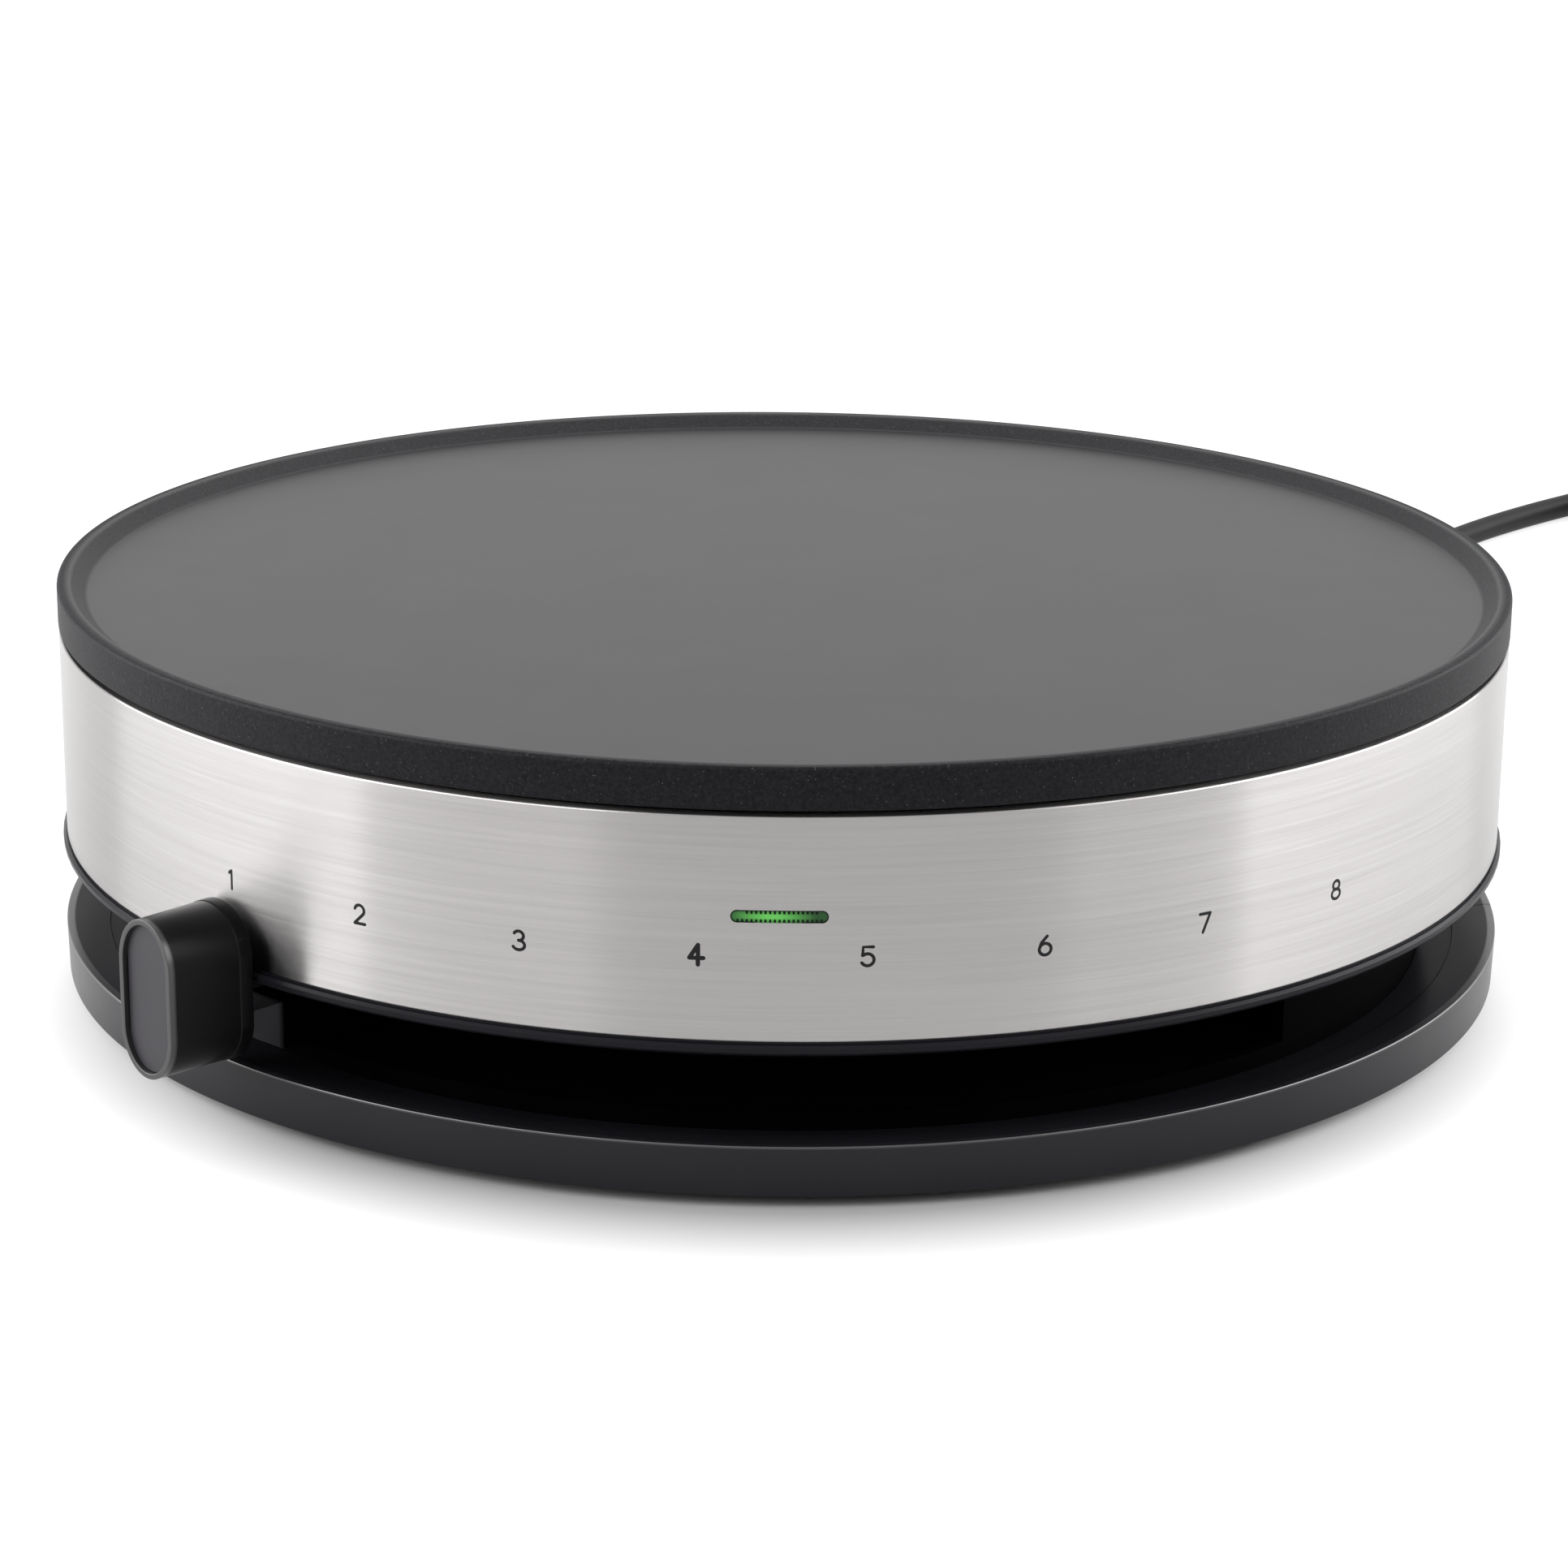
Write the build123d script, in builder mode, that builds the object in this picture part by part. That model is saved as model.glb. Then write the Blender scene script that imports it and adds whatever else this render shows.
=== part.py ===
"""Electric crepe maker: a cast cooking plate on a steel-banded housing with a waist, a base tray
and a temperature lever that swings round the appliance from number 1 to number 8.

Millimetres. +Z is up, the origin is on the table under the middle of the plate, and the front of
the appliance faces -Y. Angles are counted from +X, anticlockwise seen from above.
"""

from build123d import *
from math import asin, cos, degrees, pi, radians, sin, tan
import os

os.makedirs("parts", exist_ok=True)

# ---------------------------------------------------------------- driving dimensions
front = -90.0  # angle of the front of the appliance

# heights, from the table up
foot_gap = 2.5  # daylight under the base
base_height = 10.8
waist_height = 19.2  # clear height of the waist between base and pan
flange_height = 2.7
steel_height = 46.8
plate_gap = 1.0  # air gap between steel band and plate band
plate_band_height = 9.1

# radii of the shells
plate_radius = 165.0
steel_inset = 0.1  # steel band inside the plate's edge
flange_overhang = 0.9  # flange beyond the steel band
waist_inset = 17.8  # waist inside the flange
base_draft = 0.8  # the base narrows by this much towards its bottom

# cooking plate
plate_lip = 2.8  # flat top of the lip
plate_slope = 3.8  # from the lip down to the cooking surface
cook_depth = 3.0  # lip above the cooking surface
plate_floor = 4.5  # casting thickness under the cooking surface
plate_band_thickness = 6.4
lip_round = 1.2
cook_round = 1.8
edge_round = 0.6
ridge_width = 14.0  # cast ridge that holds the heating element
pad_radius = 31.0  # flat pad over the thermostat
pad_height = 2.0
plate_boss_radius = 7.0
plate_boss_inset = 28.0  # circle of bosses, spacers and plate screws inside the element's ring
plate_boss_count = 4

# heating element
element_inset = 53.0  # ring inside the plate's edge
element_tube = 4.0  # radius of the six-sided sheath over its corners
element_drop = 2.5  # top of the sheath under the plate's floor
element_gap_angle = 24.0  # open stretch of the ring, at the back
element_bend = 12.0
element_leg = 4.0  # straight leg below the bend
element_clearance = 0.1
seal_radius = 3.4
seal_length = 5.0
pin_radius = 1.2
pin_length = 10.0
tab_width = 6.3
tab_length = 6.3
tab_thickness = 0.8

# heat shield
shield_thickness = 0.8
shield_drop = 15.8  # plate underside to shield
shield_rim_height = 11.0
shield_clearance = 0.3  # to the steel band
shield_bore = 27.0  # radius of the hole under the thermostat
leg_hole_clearance = 1.4

# steel band and indicator
steel_thickness = 0.9
steel_hem = 3.4  # inward lip at the band's top
window_width = 19.4
window_height = 2.6
window_drop = 20.6  # middle of the window under the band's top
lens_clearance = 0.1
lens_flange = 1.6  # how far the lens reaches behind the band around its window
lens_flange_thickness = 1.2
holder_depth = 9.0
holder_wall = 1.5
holder_foot_clearance = 0.3
lamp_radius = 2.4
lamp_length = 14.0

# housing pan
pan_floor = 2.7
upstand_height = 12.0
upstand_thickness = 2.4
band_clearance = 0.1  # steel band round the pan's upstand
shadow_gap = 0.6  # groove between steel band and flange
ledge_width = 0.6  # part of the band's edge that stands on the pan
pan_boss_height = 11.0
collar_height = 8.0
spindle_hole_clearance = 1.0

# waist ring and its slot
waist_wall = 2.5
slot_clearance = 0.7
rib_height = 1.4
rib_thickness = 2.0
seat_clearance = 0.1
ring_seat = 1.2  # depth of the groove in the tray

# base tray
tray_wall = 2.5
tray_floor = 3.0
tray_floor_rise = 7.5  # top of the tray's floor above its bottom edge
tray_skirt = 3.0  # flat stretch of the underside behind the outer wall
lip_flat = 1.6
lip_fall = 1.5  # from the lip to the step line
step_inset = 9.8  # step line inside the base's edge
step_fall = 0.5
tray_rib = 1.6
tray_rib_count = 8
rib_lift = 0.2  # ribs above the bottom edge
vent_width = 3.0
vent_length = 26.0
vent_count = 12
vent_circle = 70.0

# screw tubes and screws
pillar_radius = 4.6
pillar_inset = 17.5  # circle of screw tubes inside the waist ring
pillar_angles = (-26.0, 26.0, 130.0, 206.0)
screw_radius = 2.0
screw_clearance = 0.2
thread_clearance = 0.05
thread_depth = 9.0
head_radius = 3.8
head_height = 2.6
head_sink = 0.8  # tray screws' heads reach this far into the floor
counterbore_clearance = 0.3
small_screw_radius = 1.5
small_head_radius = 2.8
small_head_height = 1.8

# feet
foot_radius = 8.0
foot_inset = 10.0  # circle of feet inside the waist
foot_boss_wall = 2.0
foot_boss_height = 3.5
foot_stem_radius = 3.0
foot_stem_height = 3.0
foot_round = 0.8
foot_count = 4

# temperature lever
lever_rest = front - 44.0  # number 1
lever_sweep = 88.0  # from number 1 to number 8
neck_half_width = 5.5
neck_height = 10.5
neck_lift = 1.2  # above the base's lip
neck_taper_reach = 11.6  # its underside rises to the knob over this length
neck_taper_rise = 6.6
hub_radius = 13.0
hub_height = 16.0
arm_root_half_width = 10.4
pivot_radius = 5.0
pivot_height = 9.0
running_clearance = 0.05
washer_thickness = 0.7
washer_gap = 0.3
arm_web = 3.0
arm_flange = 2.2
arm_pocket_start = 24.0
arm_pocket_inset = 7.5  # pockets end this far inside the waist ring

# knob
knob_gap = 2.1  # to the steel band
knob_depth = 20.1
knob_half_height = 17.4
knob_half_width = 8.3  # at its front
knob_back_half_width = 10.3
knob_lift = 31.9  # middle of the knob above the table
knob_rim = 1.2
knob_rim_round = 0.5
knob_recess = 2.4
knob_socket_depth = 12.0
insert_clearance = 0.1
insert_thickness = 1.0
insert_edge = 0.4

# thermostat
spindle_radius = 3.0
spindle_flat = 0.8
spindle_tip_gap = 0.3
bracket_thickness = 1.2
bracket_half_width = 9.0
bracket_web_y = -14.0
bracket_foot = 14.0
bracket_reach = 30.0
bracket_drop = 12.6  # plate pad to the bracket's lower leaf
bracket_bend = 1.8
bracket_screw_depth = 4.5
bush_radius = 5.0
bush_length = 8.0
bush_rise = 1.0  # above the bracket's lower leaf
stack_y = 23.0
insulator_radius = 5.5
insulator_height = 3.0
cap_insulator_height = 1.5
leaf_thickness = 0.6
leaf_half_width = 3.5
leaf_start = -4.0
leaf_end = 30.5
contact_y = 2.0
contact_radius = 2.0
bimetal_thickness = 0.8
rivet_radius = 1.6
rivet_head_radius = 2.8
rivet_head_height = 1.0

# thermal fuse
fuse_x = 30.0
fuse_inset = 50.0  # middle of the fuse inside the element's ring
fuse_hole_inset = 18.0  # its hole through the shield inside the element's ring
fuse_radius = 2.0
fuse_length = 14.0
sleeve_radius = 3.2
sleeve_length = 34.0
clip_thickness = 0.8
clip_width = 9.0
clip_foot = 8.0
clip_screw_depth = 3.0

# connections inside the waist
block_place = (11.0, 79.0)
block_width = 18.0
block_length = 33.0
block_height = 14.0
block_pitch = 10.5
block_bore_lift = 6.0
block_bore_depth = 5.0
grommet_place = (-22.0, 79.0)
grommet_bore = 4.6
grommet_neck = 6.4
grommet_flange = 8.6
grommet_lip = 1.5
lead_radius = 1.2
lead_clearance = 0.15
lead_hole_radius = 6.0
lead_stub = 9.0  # straight stretch of a lead beside what it joins
lead_layer = 4.0  # between leads that cross above the pan
bundle_offsets = ((1.2, -2.5), (-2.2, 0.0), (1.2, 2.5))  # leads inside the grommet
core_reach = 8.0  # cores straight out of the jacket
core_offsets = ((-1.5, -0.9), (0.0, 1.7), (1.5, -0.9))  # cores inside the jacket
core_bend_reach = 12.0
line_hole_place = (0.0, 42.0)
earth_place = (-42.0, 52.0)
earth_foot = 9.0
earth_blade = 10.0

# mains lead
cord_angle = 62.0
cord_radius = 3.6
cord_inside = 36.0  # jacket inside the waist ring
gland_neck_radius = 6.0
gland_flange_radius = 8.0
gland_flange = 1.6
gland_flange_gap = 0.3
gland_start = 5.6
gland_end = 4.4
gland_length = 35.0
clamp_inset = 24.0  # clamp inside the waist ring
clamp_width = 8.0
clamp_half_span = 13.0
clamp_cover = 3.0
clamp_screw_offset = 8.5
clamp_screw_depth = 6.0

# the lead's route over the table, from the strain relief's tip to the coil: along x and y from
# that tip, and the height of the lead's middle above the table
cord_route_offsets = (
    (0.0, 0.0, 22.9),
    (10.3, 19.4, 22.9),
    (22.1, 43.6, 12.4),
    (34.6, 68.2, 3.6),
    (60.6, 121.9, 3.6),
    (90.1, 176.4, 3.6),
    (118.6, 222.9, 3.6),
    (137.6, 248.9, 3.6),
    (157.6, 271.4, 3.6),
    (176.1, 289.4, 3.6),
    (189.6, 301.6, 4.0),
    (202.1, 312.4, 4.6),
)
# the lead's end, from the coil up to the plug
tail_route_offsets = (
    (264.2, 259.5, 11.2),
    (256.2, 245.6, 14.0),
    (248.2, 231.8, 18.6),
    (242.2, 221.4, 18.6),
)

# coil of the lead that is put away
coil_offset = (229.9, 279.3)
coil_mean_radius = 39.6
coil_lift = 1.0  # on its tie
tie_angle = 50.0
tie_width = 9.0
tie_thickness = 0.7
tie_clearance = 0.3
tie_inner_clearance = 0.5

# plug
plug_angle = 240.0
plug_boot_start = 4.6
plug_boot_end = 7.0
plug_boot_length = 22.0
plug_grip_length = 22.0
plug_grip_middle = 13.0
plug_grip_end = 17.0
plug_face_radius = 18.6
plug_face_length = 16.0
plug_face_round = 2.0
plug_pin_radius = 2.4
plug_pin_length = 19.0
plug_pin_spacing = 19.0
plug_pin_seat = 4.0
plug_pin_edge = 1.0

# ---------------------------------------------------------------- levels and shared places
lip_z = foot_gap + base_height
pan_z = lip_z + waist_height
pan_top_z = pan_z + pan_floor
steel_z = pan_z + flange_height
steel_top_z = steel_z + steel_height
plate_z = steel_top_z + plate_gap
top_z = plate_z + plate_band_height
cook_z = top_z - cook_depth
under_z = cook_z - plate_floor
element_flat = element_tube * cos(radians(30))  # from the sheath's middle to its flat top
element_z = under_z - element_drop - element_flat
shield_z = under_z - shield_drop
tray_top_z = foot_gap + tray_floor_rise
tray_under_z = tray_top_z - tray_floor
rib_foot_z = foot_gap + rib_lift
neck_z = lip_z + neck_lift
cord_z = lip_z + waist_height / 2
window_z = steel_top_z - window_drop
pad_z = under_z - pad_height
leaf_z = pad_z - bracket_drop + bracket_thickness

cook_radius = plate_radius - plate_lip - plate_slope
steel_radius = plate_radius - steel_inset
flange_radius = steel_radius + flange_overhang
waist_radius = flange_radius - waist_inset
base_radius = flange_radius  # at the lip
base_bottom_radius = base_radius - base_draft
step_radius = base_radius - step_inset
element_radius = plate_radius - element_inset
plate_boss_circle = element_radius - plate_boss_inset
steel_inner = steel_radius - steel_thickness
upstand_outer = steel_inner - band_clearance
upstand_inner = upstand_outer - upstand_thickness
waist_inner = waist_radius - waist_wall
pillar_circle = waist_inner - pillar_inset
foot_circle = waist_radius - foot_inset
arm_pocket_end = waist_inner - arm_pocket_inset
fuse_place = (fuse_x, element_radius - fuse_inset)
fuse_hole_place = (fuse_x, element_radius - fuse_hole_inset)
knob_back = steel_radius + knob_gap
knob_front = knob_back + knob_depth

tiny = 0.01  # margin of the comparisons that pick corners
on_top = (Align.CENTER, Align.CENTER, Align.MIN)
hanging = (Align.CENTER, Align.CENTER, Align.MAX)


def out(radius, angle, z=0.0):
    """The point at that radius and angle round the axis."""
    return (radius * cos(radians(angle)), radius * sin(radians(angle)), z)


def radial_plane(angle):
    """The upright plane through the axis: local x points outwards and local y up."""
    return Plane(origin=(0, 0, 0), x_dir=out(1, angle), z_dir=out(1, angle - 90))


def flat_plane(angle, z, radius=0.0):
    """The level plane at that height and radius whose local x points outwards at that angle."""
    return Plane(origin=out(radius, angle, z), x_dir=out(1, angle), z_dir=(0, 0, 1))


def facing_plane(radius, angle, z):
    """The upright plane that faces outwards at that place: local y is up."""
    return Plane(origin=out(radius, angle, z), x_dir=out(1, angle + 90), z_dir=out(1, angle))


def outermost(builder, angle):
    """The face of a piece that lies furthest out at that angle."""
    return builder.faces().sort_by(Axis((0, 0, 0), out(1, angle)))[-1]


def keep(builder, name):
    """Labels a finished piece and writes it to its own STEP file."""
    builder.part.label = name
    export_step(builder.part, f"parts/{name}.step")


def screw(radius, length, head, height):
    """A hexagon-head screw: its shank stands up from the origin and its head hangs below."""
    with BuildPart() as one:
        Cylinder(radius, length, align=on_top)
        with BuildSketch():
            RegularPolygon(head, 6)
        extrude(amount=-height)
    return one.part


def lead(*points):
    """An insulated lead inside the housing, along straight runs."""
    first_run = Vector(*points[1]) - Vector(*points[0])
    with BuildPart() as wire:
        with BuildLine() as path:
            Polyline(*points)
        with BuildSketch(Plane(origin=points[0], z_dir=first_run)):
            RegularPolygon(lead_radius, 6)
        sweep(path=path.line, transition=Transition.RIGHT)
    return wire.part


boss_places = [out(plate_boss_circle, 45 + 360 / plate_boss_count * k) for k in range(plate_boss_count)]
pillar_places = [out(pillar_circle, angle) for angle in pillar_angles]


def raised(places, z):
    """The same places at another height."""
    return [(place[0], place[1], z) for place in places]


# ---------------------------------------------------------------- cooking plate
bracket_screw_place = (0, bracket_web_y - bracket_foot / 2)
strap_radius = sleeve_radius + lens_clearance + clip_thickness
clip_screw_place = (fuse_place[0] - strap_radius - clip_foot / 2, fuse_place[1])
with BuildPart() as cooking_plate:
    with BuildSketch(Plane.XZ) as plate_profile:
        with BuildLine():
            Polyline(
                (0, under_z),
                (plate_radius - plate_band_thickness, under_z),
                (plate_radius - plate_band_thickness, plate_z),
                (plate_radius, plate_z),
                (plate_radius, top_z),
                (plate_radius - plate_lip, top_z),
                (cook_radius, cook_z),
                (0, cook_z),
                close=True,
            )
        make_face()
        corners = plate_profile.vertices()
        fillet(corners.filter_by(lambda v: v.Y > top_z - tiny), lip_round)
        fillet(corners.filter_by(lambda v: abs(v.X - cook_radius) < tiny), cook_round)
        chamfer(corners.filter_by(lambda v: v.Y < plate_z + tiny and v.X > plate_radius - tiny), edge_round)
    revolve(axis=Axis.Z)
    # ridge with the channel of the heating element
    with BuildSketch(Plane.XZ):
        with Locations((element_radius, element_z)):
            Rectangle(ridge_width, under_z - element_z, align=(Align.CENTER, Align.MIN))
    revolve(axis=Axis.Z)
    with BuildSketch(Plane.XZ):
        with Locations((element_radius, element_z)):
            Rectangle(2 * (element_tube + element_clearance), element_flat + element_clearance,
                      align=(Align.CENTER, Align.MIN))
    revolve(axis=Axis.Z, mode=Mode.SUBTRACT)
    # pad over the thermostat, bosses for the spacers, blind screw holes
    with Locations((0, 0, pad_z)):
        Cylinder(pad_radius, pad_height, align=on_top)
    with Locations(*raised(boss_places, shield_z + shield_thickness)):
        Cylinder(plate_boss_radius, shield_drop - shield_thickness, align=on_top)
        Cylinder(screw_radius + thread_clearance, thread_depth, align=on_top, mode=Mode.SUBTRACT)
    with Locations((*bracket_screw_place, pad_z)):
        Cylinder(small_screw_radius + thread_clearance, bracket_screw_depth, align=on_top, mode=Mode.SUBTRACT)
    with Locations((*clip_screw_place, under_z)):
        Cylinder(small_screw_radius + thread_clearance, clip_screw_depth, align=on_top, mode=Mode.SUBTRACT)
keep(cooking_plate, "cooking_plate")

# ---------------------------------------------------------------- heating element
ring_start = -front - element_gap_angle / 2
ring_end = -front + element_gap_angle / 2
start_point = out(element_radius, ring_start, element_z)
end_point = out(element_radius, ring_end, element_z)
start_step = out(element_bend, ring_start + 90)
end_step = out(element_bend, ring_end - 90)
right_leg = (start_point[0] + start_step[0], start_point[1] + start_step[1])
left_leg = (end_point[0] + end_step[0], end_point[1] + end_step[1])
bend_z = element_z - element_bend
leg_z = bend_z - element_leg
pin_z = leg_z - pin_length
tab_z = pin_z - tab_length
with BuildPart() as heating_element:
    with BuildLine() as element_path:
        Line((*right_leg, leg_z), (*right_leg, bend_z))
        TangentArc((*right_leg, bend_z), start_point, tangent=(0, 0, 1))
        CenterArc((0, 0, element_z), element_radius, ring_start, element_gap_angle - 360)
        TangentArc((*left_leg, bend_z), end_point, tangent=(0, 0, 1))
        Line((*left_leg, bend_z), (*left_leg, leg_z))
    with BuildSketch(Plane((*right_leg, leg_z), x_dir=out(1, ring_start))):
        RegularPolygon(element_tube, 6)
    sweep(path=element_path.wire())
keep(heating_element, "heating_element")

with BuildPart() as element_seals:
    with Locations((*right_leg, leg_z), (*left_leg, leg_z)):
        Cylinder(seal_radius, seal_length, align=hanging)
        Cylinder(pin_radius, seal_length, align=hanging, mode=Mode.SUBTRACT)
keep(element_seals, "element_seals")

with BuildPart() as element_pins:
    with Locations((*right_leg, leg_z), (*left_leg, leg_z)):
        Cylinder(pin_radius, pin_length, align=hanging)
    with Locations((*right_leg, pin_z), (*left_leg, pin_z)):
        Box(tab_width, tab_thickness, tab_length, align=hanging)
keep(element_pins, "element_pins")

# ---------------------------------------------------------------- heat shield
shield_radius = steel_inner - shield_clearance
with BuildPart() as heat_shield:
    with BuildSketch(Plane.XZ):
        with BuildLine():
            Polyline(
                (shield_bore, shield_z),
                (shield_radius, shield_z),
                (shield_radius, shield_z + shield_rim_height),
                (shield_radius - shield_thickness, shield_z + shield_rim_height),
                (shield_radius - shield_thickness, shield_z + shield_thickness),
                (shield_bore, shield_z + shield_thickness),
                close=True,
            )
        make_face()
    revolve(axis=Axis.Z)
    with Locations(*raised(boss_places, shield_z)):
        Cylinder(screw_radius + screw_clearance, shield_thickness, align=on_top, mode=Mode.SUBTRACT)
    with Locations((*right_leg, shield_z), (*left_leg, shield_z)):
        Cylinder(element_tube + leg_hole_clearance, shield_thickness, align=on_top, mode=Mode.SUBTRACT)
    with Locations((*line_hole_place, shield_z), (*fuse_hole_place, shield_z)):
        Cylinder(lead_hole_radius, shield_thickness, align=on_top, mode=Mode.SUBTRACT)
keep(heat_shield, "heat_shield")

# ---------------------------------------------------------------- spacers and plate screws
spacer_length = shield_z - pan_top_z
with BuildPart() as plate_spacers:
    with BuildSketch(Plane.XY.offset(pan_top_z)):
        with Locations(*boss_places):
            RegularPolygon(head_radius, 6)
            Circle(screw_radius + screw_clearance, mode=Mode.SUBTRACT)
    extrude(amount=spacer_length)
keep(plate_spacers, "plate_spacers")

plate_screw_length = shield_z + shield_thickness + thread_depth - pan_z - screw_clearance
plate_screw = screw(screw_radius, plate_screw_length, head_radius, head_height)
with BuildPart() as plate_screws:
    with Locations(*raised(boss_places, pan_z)):
        add(plate_screw)
keep(plate_screws, "plate_screws")

# ---------------------------------------------------------------- steel band
window_plane = facing_plane(steel_radius + steel_hem, front, window_z)
with BuildPart() as steel_band:
    with BuildSketch(Plane.XZ) as band_profile:
        with BuildLine():
            Polyline(
                (steel_inner, steel_z),
                (steel_radius, steel_z),
                (steel_radius, steel_top_z),
                (steel_radius - steel_hem, steel_top_z),
                (steel_radius - steel_hem, steel_top_z - steel_thickness),
                (steel_inner, steel_top_z - steel_thickness),
                close=True,
            )
        make_face()
        hem = band_profile.vertices().filter_by(
            lambda v: v.X > steel_radius - tiny and v.Y > steel_top_z - tiny)
        fillet(hem, steel_thickness)
    revolve(axis=Axis.Z)
    with BuildSketch(window_plane):
        SlotOverall(window_width, window_height)
    extrude(amount=-4 * steel_hem, mode=Mode.SUBTRACT)
keep(steel_band, "steel_band")


# ---------------------------------------------------------------- indicator
def curved_slab(width, height, inner, outer):
    """An obround slab that follows the band's curve between two radii, in line with the window."""
    with BuildPart() as slab:
        with BuildSketch(window_plane):
            SlotOverall(width, height)
        extrude(amount=-4 * steel_hem)
        with BuildSketch(Plane.XY.offset(window_z - height)):
            Circle(outer)
            Circle(inner, mode=Mode.SUBTRACT)
        extrude(amount=2 * height, mode=Mode.INTERSECT)
    return slab.part


lens_face = steel_radius - lens_clearance
lens_seat = steel_inner - lens_clearance
lens_back = lens_seat - lens_flange_thickness
window_lens = curved_slab(window_width - 2 * lens_clearance, window_height - 2 * lens_clearance,
                          lens_back, lens_face)
lens_rim = curved_slab(window_width + 2 * lens_flange, window_height + 2 * lens_flange,
                       lens_back, lens_seat)
with BuildPart() as indicator_lens:
    add(window_lens)
    add(lens_rim)
keep(indicator_lens, "indicator_lens")

holder_width = window_width + 2 * lens_flange + 2 * holder_wall
holder_height = window_height + 2 * lens_flange + 2 * holder_wall
holder_front = lens_back - lens_clearance
holder_back = holder_front - holder_depth
lamp_place = flat_plane(front, window_z, holder_back + holder_wall + lamp_radius + lens_clearance)
holder_face = curved_slab(holder_width, holder_height, holder_front - holder_wall, holder_front)
with BuildPart() as indicator_holder:
    add(holder_face)
    with Locations(flat_plane(front, window_z, holder_back)):
        Box(holder_depth - holder_wall / 2, lamp_length + 2 * holder_wall, holder_height,
            align=(Align.MIN, Align.CENTER, Align.CENTER))
    # foot that stands on the pan behind its upstand
    with Locations(flat_plane(front, pan_top_z, upstand_inner - holder_foot_clearance)):
        Box(holder_wall, lamp_length, window_z - pan_top_z, align=(Align.MAX, Align.CENTER, Align.MIN))
    # chamber of the lamp and the light's way to the lens
    with Locations(lamp_place):
        Cylinder(lamp_radius + lens_clearance, lamp_length, rotation=(90, 0, 0), mode=Mode.SUBTRACT)
        Box(lamp_radius + holder_depth, lamp_length, window_height, mode=Mode.SUBTRACT,
            align=(Align.MIN, Align.CENTER, Align.CENTER))
keep(indicator_holder, "indicator_holder")

with BuildPart() as indicator_lamp:
    with Locations(lamp_place):
        Cylinder(lamp_radius, lamp_length - 2 * lens_clearance, rotation=(90, 0, 0))
keep(indicator_lamp, "indicator_lamp")

# ---------------------------------------------------------------- housing pan
pan_hole = spindle_radius + spindle_hole_clearance
with BuildPart() as housing_pan:
    with BuildSketch(Plane.XZ) as pan_profile:
        with BuildLine():
            Polyline(
                (pan_hole, pan_z),
                (flange_radius, pan_z),
                (flange_radius, steel_z - shadow_gap),
                (steel_inner + ledge_width, steel_z - shadow_gap),
                (steel_inner + ledge_width, steel_z),
                (upstand_outer, steel_z),
                (upstand_outer, steel_z + upstand_height),
                (upstand_inner, steel_z + upstand_height),
                (upstand_inner, pan_top_z),
                (pan_hole, pan_top_z),
                close=True,
            )
        make_face()
        chamfer(pan_profile.vertices().filter_by(lambda v: v.X > steel_radius + tiny), edge_round)
        # rib that centres the waist ring
        with Locations((waist_inner - seat_clearance, pan_z)):
            Rectangle(rib_thickness, rib_height, align=(Align.MAX, Align.MAX))
    revolve(axis=Axis.Z)
    # collar round the spindle, bosses for the tray's screws
    with Locations((0, 0, pan_top_z)):
        Cylinder(pan_hole + pan_floor, collar_height, align=on_top)
        Cylinder(pan_hole, collar_height, align=on_top, mode=Mode.SUBTRACT)
    with Locations(*raised(pillar_places, pan_top_z)):
        Cylinder(pillar_radius, pan_boss_height, align=on_top)
    with Locations(*raised(pillar_places, pan_z)):
        Cylinder(screw_radius + thread_clearance, pan_floor + thread_depth, align=on_top, mode=Mode.SUBTRACT)
    with Locations(*raised(boss_places, pan_z)):
        Cylinder(screw_radius + screw_clearance, pan_floor, align=on_top, mode=Mode.SUBTRACT)
    with Locations((*grommet_place, pan_z)):
        Cylinder(grommet_neck + seat_clearance, pan_floor, align=on_top, mode=Mode.SUBTRACT)
keep(housing_pan, "housing_pan")

# ---------------------------------------------------------------- waist ring
ring_foot_z = tray_top_z - ring_seat
slot_half = lever_sweep / 2 + degrees(asin((neck_half_width + slot_clearance) / waist_inner))
web_length = waist_inner + waist_wall / 2 - pillar_circle
web_middle = pillar_circle + web_length / 2
with BuildPart() as waist_ring:
    with BuildSketch(Plane.XZ):
        with Locations((waist_inner, ring_foot_z)):
            Rectangle(waist_wall, pan_z - ring_foot_z, align=(Align.MIN, Align.MIN))
    revolve(axis=Axis.Z)
    with BuildSketch(radial_plane(front - slot_half)):
        with Locations((waist_inner - waist_wall, neck_z - slot_clearance)):
            Rectangle(3 * waist_wall, neck_height + 2 * slot_clearance, align=(Align.MIN, Align.MIN))
    revolve(axis=Axis.Z, revolution_arc=2 * slot_half, mode=Mode.SUBTRACT)
    with BuildSketch(facing_plane(waist_inner - waist_wall, cord_angle, cord_z)):
        Circle(gland_neck_radius + seat_clearance)
    extrude(amount=3 * waist_wall, mode=Mode.SUBTRACT)
    # screw tubes between tray and pan, with webs to the wall
    with BuildSketch(Plane.XY.offset(tray_top_z)):
        with Locations(*[Location(out(web_middle, angle), (0, 0, angle)) for angle in pillar_angles]):
            Rectangle(web_length, tray_rib)
    extrude(amount=pan_z - rib_height - seat_clearance - tray_top_z)
    with Locations(*raised(pillar_places, tray_top_z)):
        Cylinder(pillar_radius, pan_z - tray_top_z, align=on_top)
        Cylinder(screw_radius + screw_clearance, pan_z - tray_top_z, align=on_top, mode=Mode.SUBTRACT)
keep(waist_ring, "waist_ring")

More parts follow.
